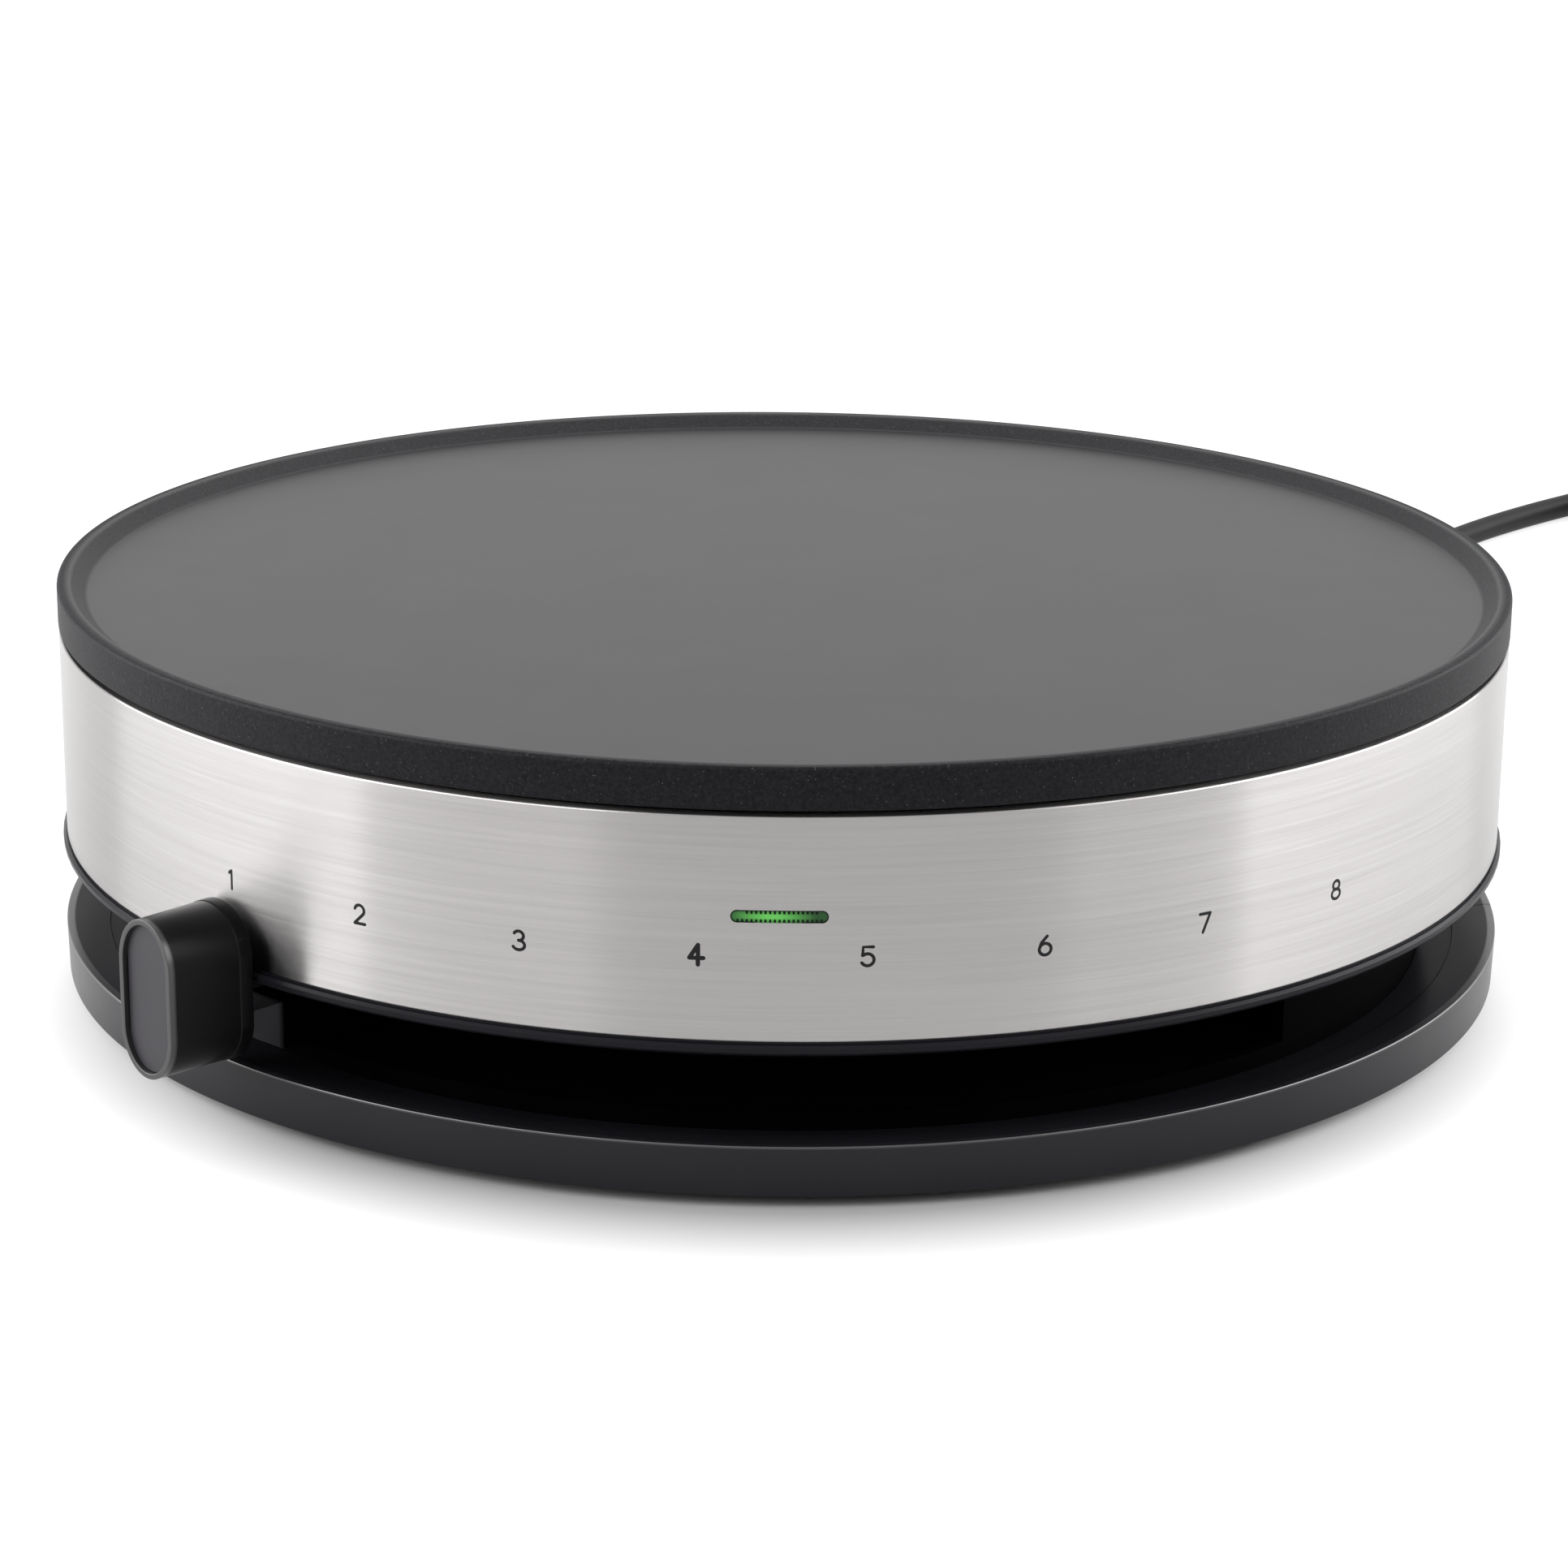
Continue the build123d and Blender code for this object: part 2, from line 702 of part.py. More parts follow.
# ---------------------------------------------------------------- base tray
step_z = lip_z - lip_fall
seat_outer = waist_radius + seat_clearance
seat_inner = waist_inner - seat_clearance
tray_inner = base_bottom_radius - tray_wall
skin_z = step_z - step_fall - tray_floor
clamp_circle = waist_inner - clamp_inset
with BuildPart() as base_tray:
    with BuildSketch(Plane.XZ) as tray_profile:
        with BuildLine():
            Polyline(
                (0, tray_under_z),
                (seat_outer, tray_under_z),
                (tray_inner - tray_skirt, skin_z),
                (tray_inner, skin_z),
                (tray_inner, foot_gap),
                (base_bottom_radius, foot_gap),
                (base_radius, lip_z),
                (base_radius - lip_flat, lip_z),
                (step_radius, step_z),
                (step_radius, step_z - step_fall),
                (seat_outer, tray_top_z),
                (seat_outer, ring_foot_z),
                (seat_inner, ring_foot_z),
                (seat_inner, tray_top_z),
                (0, tray_top_z),
                close=True,
            )
        make_face()
        outer_corners = tray_profile.vertices().filter_by(lambda v: v.X > base_bottom_radius - tiny)
        fillet(outer_corners.sort_by(Axis.Y)[-1], lip_round)
        outer_corners = tray_profile.vertices().filter_by(lambda v: v.X > base_bottom_radius - tiny)
        chamfer(outer_corners.sort_by(Axis.Y)[0], edge_round)
    revolve(axis=Axis.Z)
    # ribs under the floor
    with BuildSketch(Plane.XY.offset(rib_foot_z)):
        with PolarLocations((vent_circle + vent_length + tray_inner) / 2, tray_rib_count,
                            start_angle=180 / tray_rib_count):
            Rectangle(tray_inner - vent_circle - vent_length + tray_rib, tray_rib)
        for ring in (vent_circle + vent_length, vent_circle - vent_length):
            Circle(ring)
            Circle(ring - tray_rib, mode=Mode.SUBTRACT)
    extrude(amount=tray_under_z - rib_foot_z)
    # vents between the ring ribs
    with BuildSketch(Plane.XY.offset(tray_under_z)):
        with PolarLocations(vent_circle, vent_count):
            Rectangle(vent_length, vent_width)
    extrude(amount=tray_floor, mode=Mode.SUBTRACT)
    # collars and counterbores of the tray's screws
    with Locations(*raised(pillar_places, rib_foot_z)):
        Cylinder(head_radius + counterbore_clearance + tray_rib, tray_under_z - rib_foot_z, align=on_top)
        Cylinder(screw_radius + screw_clearance, tray_top_z - rib_foot_z, align=on_top, mode=Mode.SUBTRACT)
        Cylinder(head_radius + counterbore_clearance, tray_under_z + head_sink - rib_foot_z, align=on_top,
                 mode=Mode.SUBTRACT)
    # bosses of the feet
    with Locations(*[out(foot_circle, 45 + 360 / foot_count * k, tray_under_z) for k in range(foot_count)]):
        Cylinder(foot_radius + foot_boss_wall, foot_boss_height, align=hanging)
        Cylinder(foot_stem_radius + thread_clearance, foot_boss_height, align=hanging, mode=Mode.SUBTRACT)
    # shoulder and pivot of the lever
    with Locations((0, 0, tray_top_z)):
        Cylinder(hub_radius, neck_z - washer_gap - washer_thickness - tray_top_z, align=on_top)
        Cylinder(pivot_radius, neck_z + pivot_height - tray_top_z, align=on_top)
    # lower half of the cord clamp
    with BuildSketch(flat_plane(cord_angle, tray_top_z)):
        with Locations((clamp_circle, 0)):
            Rectangle(clamp_width, 2 * clamp_half_span)
    extrude(amount=cord_z - tray_top_z)
    with BuildSketch(facing_plane(clamp_circle - clamp_width, cord_angle, cord_z)):
        Circle(cord_radius)
    extrude(amount=2 * clamp_width, mode=Mode.SUBTRACT)
    with BuildSketch(flat_plane(cord_angle, cord_z)):
        with Locations((clamp_circle, clamp_screw_offset), (clamp_circle, -clamp_screw_offset)):
            Circle(small_screw_radius + thread_clearance)
    extrude(amount=-clamp_screw_depth, mode=Mode.SUBTRACT)
keep(base_tray, "base_tray")

head_seat_z = tray_under_z + head_sink
tray_screw = screw(screw_radius, pan_top_z + thread_depth - head_seat_z - screw_clearance,
                   head_radius, head_height)
with BuildPart() as tray_screws:
    with Locations(*raised(pillar_places, head_seat_z)):
        add(tray_screw)
keep(tray_screws, "tray_screws")

foot_top_z = tray_under_z - foot_boss_height
with BuildPart() as rubber_feet:
    with Locations(*[out(foot_circle, 45 + 360 / foot_count * k) for k in range(foot_count)]):
        Cylinder(foot_radius, foot_top_z, align=on_top)
        Cylinder(foot_stem_radius, foot_top_z + foot_stem_height, align=on_top)
    chamfer(rubber_feet.edges().filter_by(GeomType.CIRCLE).group_by(Axis.Z)[0], foot_round)
keep(rubber_feet, "rubber_feet")

# ---------------------------------------------------------------- temperature lever
hub_top_z = neck_z + hub_height
spindle_z = neck_z + pivot_height + washer_gap
arm_end = knob_back + knob_socket_depth - insert_clearance
tongue_z = neck_z + neck_taper_rise
neck_top_z = neck_z + neck_height
with BuildPart() as lever_arm:
    with BuildSketch(flat_plane(lever_rest, neck_z)):
        with BuildLine():
            Polyline(
                (0, -arm_root_half_width),
                (arm_pocket_end, -neck_half_width),
                (arm_end, -neck_half_width),
                (arm_end, neck_half_width),
                (arm_pocket_end, neck_half_width),
                (0, arm_root_half_width),
                close=True,
            )
        make_face()
    extrude(amount=neck_height)
    with Locations((0, 0, neck_z)):
        Cylinder(hub_radius, hub_height, align=on_top)
    # underside that rises to the tongue in the knob
    with BuildSketch(radial_plane(lever_rest)):
        with BuildLine():
            Polyline(
                (knob_back - neck_taper_reach, neck_z),
                (knob_back, tongue_z),
                (arm_end + insert_clearance, tongue_z),
                (arm_end + insert_clearance, neck_z),
                close=True,
            )
        make_face()
    extrude(amount=2 * neck_half_width, both=True, mode=Mode.SUBTRACT)
    # pockets that leave a web between two flanges
    with BuildSketch(flat_plane(lever_rest, neck_z + arm_flange)):
        for side in (-1, 1):
            with Locations(((arm_pocket_start + arm_pocket_end) / 2, side * (arm_web + hub_radius) / 2)):
                Rectangle(arm_pocket_end - arm_pocket_start, hub_radius)
    extrude(amount=neck_height - 2 * arm_flange, mode=Mode.SUBTRACT)
    # bore for the tray's pivot, flatted bore for the spindle
    with Locations((0, 0, neck_z)):
        Cylinder(pivot_radius + running_clearance, pivot_height + washer_gap, align=on_top,
                 mode=Mode.SUBTRACT)
    with BuildSketch(flat_plane(lever_rest, spindle_z)):
        Circle(spindle_radius + running_clearance)
        with Locations((spindle_radius - spindle_flat + running_clearance, 0)):
            Rectangle(spindle_radius, 3 * spindle_radius, align=(Align.MIN, Align.CENTER), mode=Mode.SUBTRACT)
    extrude(amount=hub_top_z - spindle_z, mode=Mode.SUBTRACT)
keep(lever_arm, "lever_arm")

with BuildPart() as lever_washer:
    with Locations((0, 0, neck_z - washer_gap)):
        Cylinder(hub_radius - washer_thickness, washer_thickness, align=hanging)
        Cylinder(pivot_radius + screw_clearance, washer_thickness, align=hanging, mode=Mode.SUBTRACT)
keep(lever_washer, "lever_washer")

knob_core_height = 2 * (knob_half_height - knob_rim)
knob_core_width = 2 * (knob_half_width - knob_rim)
with BuildPart() as lever_knob:
    for radius, half_width in ((knob_back, knob_back_half_width), (knob_front, knob_half_width)):
        with BuildSketch(facing_plane(radius, lever_rest, knob_lift)):
            SlotOverall(2 * knob_half_height, 2 * half_width, rotation=90)
    loft(ruled=True)
    fillet(outermost(lever_knob, lever_rest).edges(), knob_rim_round)
    with BuildSketch(facing_plane(knob_front, lever_rest, knob_lift)):
        SlotOverall(knob_core_height, knob_core_width, rotation=90)
    extrude(amount=-knob_recess, mode=Mode.SUBTRACT)
    with BuildSketch(facing_plane(knob_back, lever_rest, (tongue_z + neck_top_z) / 2)):
        Rectangle(2 * (neck_half_width + insert_clearance), neck_top_z - tongue_z + 2 * insert_clearance)
    extrude(amount=knob_socket_depth, mode=Mode.SUBTRACT)
keep(lever_knob, "lever_knob")

with BuildPart() as knob_insert:
    with BuildSketch(facing_plane(knob_front - knob_recess, lever_rest, knob_lift)):
        SlotOverall(knob_core_height - 2 * insert_clearance, knob_core_width - 2 * insert_clearance,
                    rotation=90)
    extrude(amount=insert_thickness)
    chamfer(outermost(knob_insert, lever_rest).edges(), insert_edge)
keep(knob_insert, "knob_insert")

# ---------------------------------------------------------------- thermostat
spindle_top_z = leaf_z + insulator_height - spindle_tip_gap
with BuildPart() as thermostat_spindle:
    with Locations((0, 0, spindle_z)):
        Cylinder(spindle_radius, spindle_top_z - spindle_z, align=on_top)
    chamfer(thermostat_spindle.faces().sort_by(Axis.Z)[-1].edges(), spindle_flat)
    with BuildSketch(flat_plane(lever_rest, spindle_z)):
        with Locations((spindle_radius - spindle_flat, 0)):
            Rectangle(spindle_radius, 3 * spindle_radius, align=(Align.MIN, Align.CENTER))
    extrude(amount=hub_top_z - spindle_z, mode=Mode.SUBTRACT)
keep(thermostat_spindle, "thermostat_spindle")

bush_z = leaf_z + bush_rise - bush_length
with BuildPart() as thermostat_bracket:
    with BuildSketch(Plane.YZ):
        with BuildLine():
            FilletPolyline(
                (bracket_web_y - bracket_foot, pad_z - bracket_thickness / 2),
                (bracket_web_y, pad_z - bracket_thickness / 2),
                (bracket_web_y, leaf_z - bracket_thickness / 2),
                (bracket_reach, leaf_z - bracket_thickness / 2),
                radius=bracket_bend,
            )
        trace(line_width=bracket_thickness)
    extrude(amount=bracket_half_width, both=True)
    with Locations((0, 0, bush_z)):
        Cylinder(bush_radius, bush_length, align=on_top)
        Cylinder(spindle_radius + running_clearance, bush_length, align=on_top, mode=Mode.SUBTRACT)
    with Locations((0, stack_y, leaf_z)):
        Cylinder(rivet_radius + thread_clearance, bracket_thickness, align=hanging, mode=Mode.SUBTRACT)
    with Locations((*bracket_screw_place, pad_z)):
        Cylinder(small_screw_radius + screw_clearance, bracket_thickness, align=hanging, mode=Mode.SUBTRACT)
keep(thermostat_bracket, "thermostat_bracket")

# stack of the thermostat from its bracket up: (kind, thickness)
lower_leaf_z = leaf_z + insulator_height
middle_z = lower_leaf_z + leaf_thickness
upper_leaf_z = middle_z + insulator_height
cap_z = upper_leaf_z + leaf_thickness
bimetal_z = cap_z + cap_insulator_height
stack_top_z = bimetal_z + bimetal_thickness
with BuildPart() as thermostat_insulators:
    for level, height in (
        (leaf_z, insulator_height),
        (middle_z, insulator_height),
        (cap_z, cap_insulator_height),
    ):
        with Locations((0, stack_y, level)):
            Cylinder(insulator_radius, height, align=on_top)
            Cylinder(rivet_radius + thread_clearance, height, align=on_top, mode=Mode.SUBTRACT)
keep(thermostat_insulators, "thermostat_insulators")

leaf_length = leaf_end - leaf_start
leaf_middle = (leaf_end + leaf_start) / 2


def leaf(level, thickness):
    """A flat spring held in the thermostat's stack."""
    with Locations((0, leaf_middle, level)):
        Box(2 * leaf_half_width, leaf_length, thickness, align=on_top)
    with Locations((0, stack_y, level)):
        Cylinder(rivet_radius + thread_clearance, thickness, align=on_top, mode=Mode.SUBTRACT)


with BuildPart() as contact_springs:
    leaf(lower_leaf_z, leaf_thickness)
    leaf(upper_leaf_z, leaf_thickness)
keep(contact_springs, "contact_springs")

with BuildPart() as contact_rivets:
    for level in (middle_z, middle_z + insulator_height / 2):
        with Locations((0, contact_y, level)):
            Cylinder(contact_radius, insulator_height / 2 - thread_clearance, align=on_top)
keep(contact_rivets, "contact_rivets")

with BuildPart() as bimetal_strip:
    leaf(bimetal_z, bimetal_thickness)
keep(bimetal_strip, "bimetal_strip")

with BuildPart() as thermostat_rivet:
    with Locations((0, stack_y, leaf_z - bracket_thickness - rivet_head_height)):
        Cylinder(rivet_head_radius, rivet_head_height, align=on_top)
        Cylinder(rivet_radius, stack_top_z - leaf_z + bracket_thickness + rivet_head_height, align=on_top)
    with Locations((0, stack_y, stack_top_z)):
        Cylinder(rivet_head_radius, rivet_head_height, align=on_top)
keep(thermostat_rivet, "thermostat_rivet")

bracket_screw_part = screw(small_screw_radius, bracket_thickness + bracket_screw_depth - screw_clearance,
                           small_head_radius, small_head_height)
with BuildPart() as bracket_screw:
    with Locations((*bracket_screw_place, pad_z - bracket_thickness)):
        add(bracket_screw_part)
keep(bracket_screw, "bracket_screw")

# ---------------------------------------------------------------- thermal fuse
fuse_z = under_z - sleeve_radius - lens_clearance
with BuildPart() as fuse_sleeve:
    with Locations((*fuse_place, fuse_z)):
        Cylinder(sleeve_radius, sleeve_length, rotation=(90, 0, 0))
        Cylinder(fuse_radius + thread_clearance, sleeve_length, rotation=(90, 0, 0), mode=Mode.SUBTRACT)
keep(fuse_sleeve, "fuse_sleeve")

with BuildPart() as thermal_fuse:
    with Locations((*fuse_place, fuse_z)):
        Cylinder(fuse_radius, fuse_length, rotation=(90, 0, 0))
keep(thermal_fuse, "thermal_fuse")

strap_bore = sleeve_radius + lens_clearance
with BuildPart() as fuse_clip:
    with BuildSketch(Plane(origin=(*fuse_place, fuse_z), x_dir=(1, 0, 0), z_dir=(0, -1, 0))):
        Circle(strap_radius)
        Rectangle(2 * strap_radius, under_z - fuse_z, align=(Align.CENTER, Align.MIN))
        with Locations((-strap_radius, under_z - fuse_z)):
            Rectangle(clip_foot, clip_thickness, align=(Align.MAX, Align.MAX))
        Circle(strap_bore, mode=Mode.SUBTRACT)
        Rectangle(2 * strap_bore, strap_radius, align=(Align.CENTER, Align.MIN), mode=Mode.SUBTRACT)
    extrude(amount=clip_width / 2, both=True)
    with Locations((*clip_screw_place, under_z)):
        Cylinder(small_screw_radius + screw_clearance, clip_thickness, align=hanging, mode=Mode.SUBTRACT)
keep(fuse_clip, "fuse_clip")

clip_screw_part = screw(small_screw_radius, clip_thickness + clip_screw_depth - screw_clearance,
                        small_head_radius, small_head_height)
with BuildPart() as clip_screw:
    with Locations((*clip_screw_place, under_z - clip_thickness)):
        add(clip_screw_part)
keep(clip_screw, "clip_screw")

# ---------------------------------------------------------------- terminal block
bore_z = tray_top_z + block_bore_lift
block_top_z = tray_top_z + block_height
pole_ys = [block_place[1] + block_pitch * k for k in (-1, 0, 1)]
right_face = block_place[0] + block_width / 2
left_face = block_place[0] - block_width / 2
block_xs = (left_face + block_bore_depth, right_face - block_bore_depth)
terminal_places = [(x, y) for y in pole_ys for x in block_xs]
with BuildPart() as terminal_block:
    with Locations((*block_place, tray_top_z)):
        Box(block_width, block_length, block_height, align=on_top)
    with Locations(*[(block_place[0], y, bore_z) for y in pole_ys]):
        Box(block_width, 2 * (lead_radius + lead_clearance), 2 * (lead_radius + lead_clearance),
            mode=Mode.SUBTRACT)
    with Locations(*[(*place, bore_z) for place in terminal_places]):
        Cylinder(small_screw_radius + thread_clearance, block_top_z - bore_z, align=on_top,
                 mode=Mode.SUBTRACT)
keep(terminal_block, "terminal_block")

with BuildPart() as terminal_screws:
    with Locations(*[(*place, block_top_z - edge_round) for place in terminal_places]):
        Cylinder(small_screw_radius, block_top_z - edge_round - bore_z - lead_radius - thread_clearance,
                 align=hanging)
keep(terminal_screws, "terminal_screws")

# ---------------------------------------------------------------- lead grommet
with BuildPart() as lead_grommet:
    with Locations((*grommet_place, pan_z - grommet_lip)):
        Cylinder(grommet_flange, grommet_lip, align=on_top)
        Cylinder(grommet_neck, pan_floor + 2 * grommet_lip, align=on_top)
    with Locations((*grommet_place, pan_top_z)):
        Cylinder(grommet_flange, grommet_lip, align=on_top)
    with Locations((*grommet_place, pan_z - grommet_lip)):
        Cylinder(grommet_bore, pan_floor + 2 * grommet_lip, align=on_top, mode=Mode.SUBTRACT)
keep(lead_grommet, "lead_grommet")

# ---------------------------------------------------------------- earth tab
with BuildPart() as earth_tab:
    with Locations((*earth_place, shield_z)):
        Box(tab_width, earth_foot, tab_thickness, align=hanging)
    with Locations((earth_place[0], earth_place[1] + earth_foot / 2, shield_z)):
        Box(tab_width, tab_thickness, earth_blade, align=(Align.CENTER, Align.MAX, Align.MAX))
keep(earth_tab, "earth_tab")

# ---------------------------------------------------------------- jacket end, clamp and strain relief
gland_tip = waist_radius + gland_length
jacket_end = waist_inner - cord_inside
with BuildPart() as cord_entry:
    with BuildSketch(facing_plane(jacket_end, cord_angle, cord_z)):
        Circle(cord_radius)
    extrude(amount=gland_tip - jacket_end)
keep(cord_entry, "cord_entry")

with BuildPart() as cord_clamp:
    with BuildSketch(flat_plane(cord_angle, cord_z)):
        with Locations((clamp_circle, 0)):
            Rectangle(clamp_width, 2 * clamp_half_span)
    extrude(amount=cord_radius + clamp_cover)
    with BuildSketch(facing_plane(clamp_circle - clamp_width, cord_angle, cord_z)):
        Circle(cord_radius)
    extrude(amount=2 * clamp_width, mode=Mode.SUBTRACT)
    with BuildSketch(flat_plane(cord_angle, cord_z)):
        with Locations((clamp_circle, clamp_screw_offset), (clamp_circle, -clamp_screw_offset)):
            Circle(small_screw_radius + screw_clearance)
    extrude(amount=cord_radius + clamp_cover, mode=Mode.SUBTRACT)
keep(cord_clamp, "cord_clamp")

clamp_screw_part = screw(small_screw_radius, cord_radius + clamp_cover + clamp_screw_depth - screw_clearance,
                         small_head_radius, small_head_height)
clamp_head_plane = flat_plane(cord_angle, cord_z + cord_radius + clamp_cover)
with BuildPart(clamp_head_plane) as clamp_screws:
    with Locations((clamp_circle, clamp_screw_offset, 0), (clamp_circle, -clamp_screw_offset, 0)):
        add(clamp_screw_part, rotation=(180, 0, 0))
keep(clamp_screws, "clamp_screws")

with BuildPart() as strain_relief:
    with BuildSketch(facing_plane(waist_inner - gland_flange_gap - gland_flange, cord_angle, cord_z)):
        Circle(gland_flange_radius)
    extrude(amount=gland_flange)
    with BuildSketch(facing_plane(waist_inner - gland_flange_gap, cord_angle, cord_z)):
        Circle(gland_neck_radius)
    extrude(amount=waist_wall + gland_flange_gap)
    with BuildSketch(facing_plane(waist_radius, cord_angle, cord_z)):
        Circle(gland_flange_radius)
    extrude(amount=gland_flange)
    for radius, size in ((waist_radius + gland_flange, gland_start), (gland_tip, gland_end)):
        with BuildSketch(facing_plane(radius, cord_angle, cord_z)):
            Circle(size)
    loft()
    with BuildSketch(facing_plane(jacket_end, cord_angle, cord_z)):
        Circle(cord_radius)
    extrude(amount=gland_tip - jacket_end, mode=Mode.SUBTRACT)
keep(strain_relief, "strain_relief")

# ---------------------------------------------------------------- leads inside the housing
core_ends = facing_plane(jacket_end, cord_angle, cord_z)
core_turns = facing_plane(jacket_end - core_reach, cord_angle, cord_z)
with BuildPart() as mains_cores:
    for offset, y in zip(core_offsets, pole_ys):
        add(lead(tuple(core_ends.from_local_coords(offset)), tuple(core_turns.from_local_coords(offset)),
                 (right_face + core_bend_reach, y, bore_z), (block_xs[1], y, bore_z)))
keep(mains_cores, "mains_cores")

bundle = [(grommet_place[0] + x, grommet_place[1] + y) for x, y in bundle_offsets]
above_pan = pan_top_z + 2 * lead_layer
under_tab_z = (pan_top_z + tab_z) / 2


def from_block(pole, *points):
    """A lead from a pole of the terminal block, up through the grommet and on to what it feeds."""
    y = pole_ys[pole]
    place = bundle[pole]
    return lead((block_xs[0], y, bore_z), (left_face - lead_stub, y, bore_z), (*place, bore_z + lead_stub),
                (*place, above_pan + lead_layer * (2 - pole)), *points)


with BuildPart() as line_lead:
    add(from_block(0, (*line_hole_place, shield_z - lead_stub), (*line_hole_place, lower_leaf_z),
                   (0, leaf_end, lower_leaf_z + leaf_thickness / 2)))
keep(line_lead, "line_lead")

with BuildPart() as neutral_lead:
    add(from_block(2, (*left_leg, under_tab_z), (*left_leg, tab_z)))
keep(neutral_lead, "neutral_lead")

earth_foot_y = earth_place[1] + earth_foot / 2 - tab_thickness / 2
with BuildPart() as earth_lead:
    add(from_block(1, (earth_place[0], earth_foot_y, shield_z - earth_blade - lead_stub),
                   (earth_place[0], earth_foot_y, shield_z - earth_blade)))
keep(earth_lead, "earth_lead")

fuse_front = (fuse_place[0], fuse_place[1] - sleeve_length / 2)
fuse_rear = (fuse_place[0], fuse_place[1] + sleeve_length / 2)
with BuildPart() as fuse_leads:
    add(lead((0, leaf_end, upper_leaf_z + leaf_thickness / 2), (0, leaf_end + lead_stub, upper_leaf_z),
             (fuse_front[0], fuse_front[1] - lead_stub, fuse_z), (*fuse_front, fuse_z)))
    add(lead((*fuse_rear, fuse_z), (*fuse_hole_place, fuse_z), (*fuse_hole_place, tab_z),
             (*right_leg, under_tab_z), (*right_leg, tab_z)))
keep(fuse_leads, "fuse_leads")


# ---------------------------------------------------------------- mains lead over the table
def arc_radii(points):
    """The radius of each corner: 0.45 of its shorter run, over the tangent of half its turn."""
    spots = [Vector(*point) for point in points]
    runs = [b - a for a, b in zip(spots, spots[1:])]
    return [
        0.45 * min(one.length, two.length) / tan(radians(one.get_angle(two)) / 2)
        for one, two in zip(runs, runs[1:])
    ]


cord_tip = out(gland_tip, cord_angle)
cord_route = [(cord_tip[0] + x, cord_tip[1] + y, z) for x, y, z in cord_route_offsets]
tail_route = [(cord_tip[0] + x, cord_tip[1] + y, z) for x, y, z in tail_route_offsets]
coil_place = (cord_tip[0] + coil_offset[0], cord_tip[1] + coil_offset[1])


def cord_tube(points, name):
    """A stretch of the mains lead that isn't coiled."""
    radii = arc_radii(points)
    first_run = Vector(*points[1]) - Vector(*points[0])
    with BuildPart() as tube:
        with BuildLine() as path:
            FilletPolyline(*points, radius=radii)
        with BuildSketch(Plane(origin=points[0], z_dir=first_run)):
            Circle(cord_radius)
        sweep(path=path.line)
    length = path.wire().length
    section = pi * cord_radius**2
    print(name, "length", round(length, 1), "volume over section", round(tube.part.volume / section, 1))
    print(name, "bend radii", [round(radius) for radius in radii])
    return tube.part


with BuildPart() as power_cord:
    add(cord_tube(cord_route, "power_cord"))
keep(power_cord, "power_cord")

with BuildPart() as plug_cord:
    add(cord_tube(tail_route, "plug_cord"))
keep(plug_cord, "plug_cord")

# ---------------------------------------------------------------- coil and its tie
coil_inner = coil_mean_radius - 2 * cord_radius
coil_outer = coil_mean_radius + 2 * cord_radius
layer_rise = cord_radius * 3**0.5
coil_shoulder_z = coil_lift + 2 * cord_radius
coil_top_z = coil_shoulder_z + layer_rise
coil_plane = Plane(origin=(*coil_place, 0), x_dir=(1, 0, 0), z_dir=(0, -1, 0))
with BuildPart() as cord_coil:
    with BuildSketch(coil_plane):
        with BuildLine():
            Polyline(
                (coil_inner, coil_lift),
                (coil_outer, coil_lift),
                (coil_outer, coil_shoulder_z),
                (coil_mean_radius + cord_radius, coil_top_z),
                (coil_mean_radius - cord_radius, coil_top_z),
                (coil_inner, coil_shoulder_z),
                close=True,
            )
        make_face()
    revolve(axis=Axis((*coil_place, 0), (0, 0, 1)))
keep(cord_coil, "cord_coil")

tie_inner = coil_inner - tie_inner_clearance
tie_outer = coil_outer + tie_clearance
tie_top_z = coil_top_z + tie_clearance
tie_plane = Plane(origin=(*coil_place, 0), x_dir=out(1, tie_angle), z_dir=(0, 0, 1))
with BuildPart(tie_plane) as coil_tie:
    with Locations(((tie_inner + tie_outer) / 2, 0, 0)):
        Box(tie_outer - tie_inner + 2 * tie_thickness, tie_width, tie_top_z + tie_thickness, align=on_top)
    with Locations(((tie_inner + tie_outer) / 2, 0, coil_lift - tie_clearance)):
        Box(tie_outer - tie_inner, tie_width, tie_top_z - coil_lift + tie_clearance, align=on_top,
            mode=Mode.SUBTRACT)
keep(coil_tie, "coil_tie")


# ---------------------------------------------------------------- plug
def plug_plane(distance):
    """The plane across the plug that far from the start of its boot."""
    along = out(1, plug_angle)
    start = tail_route[-1]
    return Plane(origin=(start[0] + distance * along[0], start[1] + distance * along[1], start[2]),
                 x_dir=out(1, plug_angle + 90), z_dir=along)


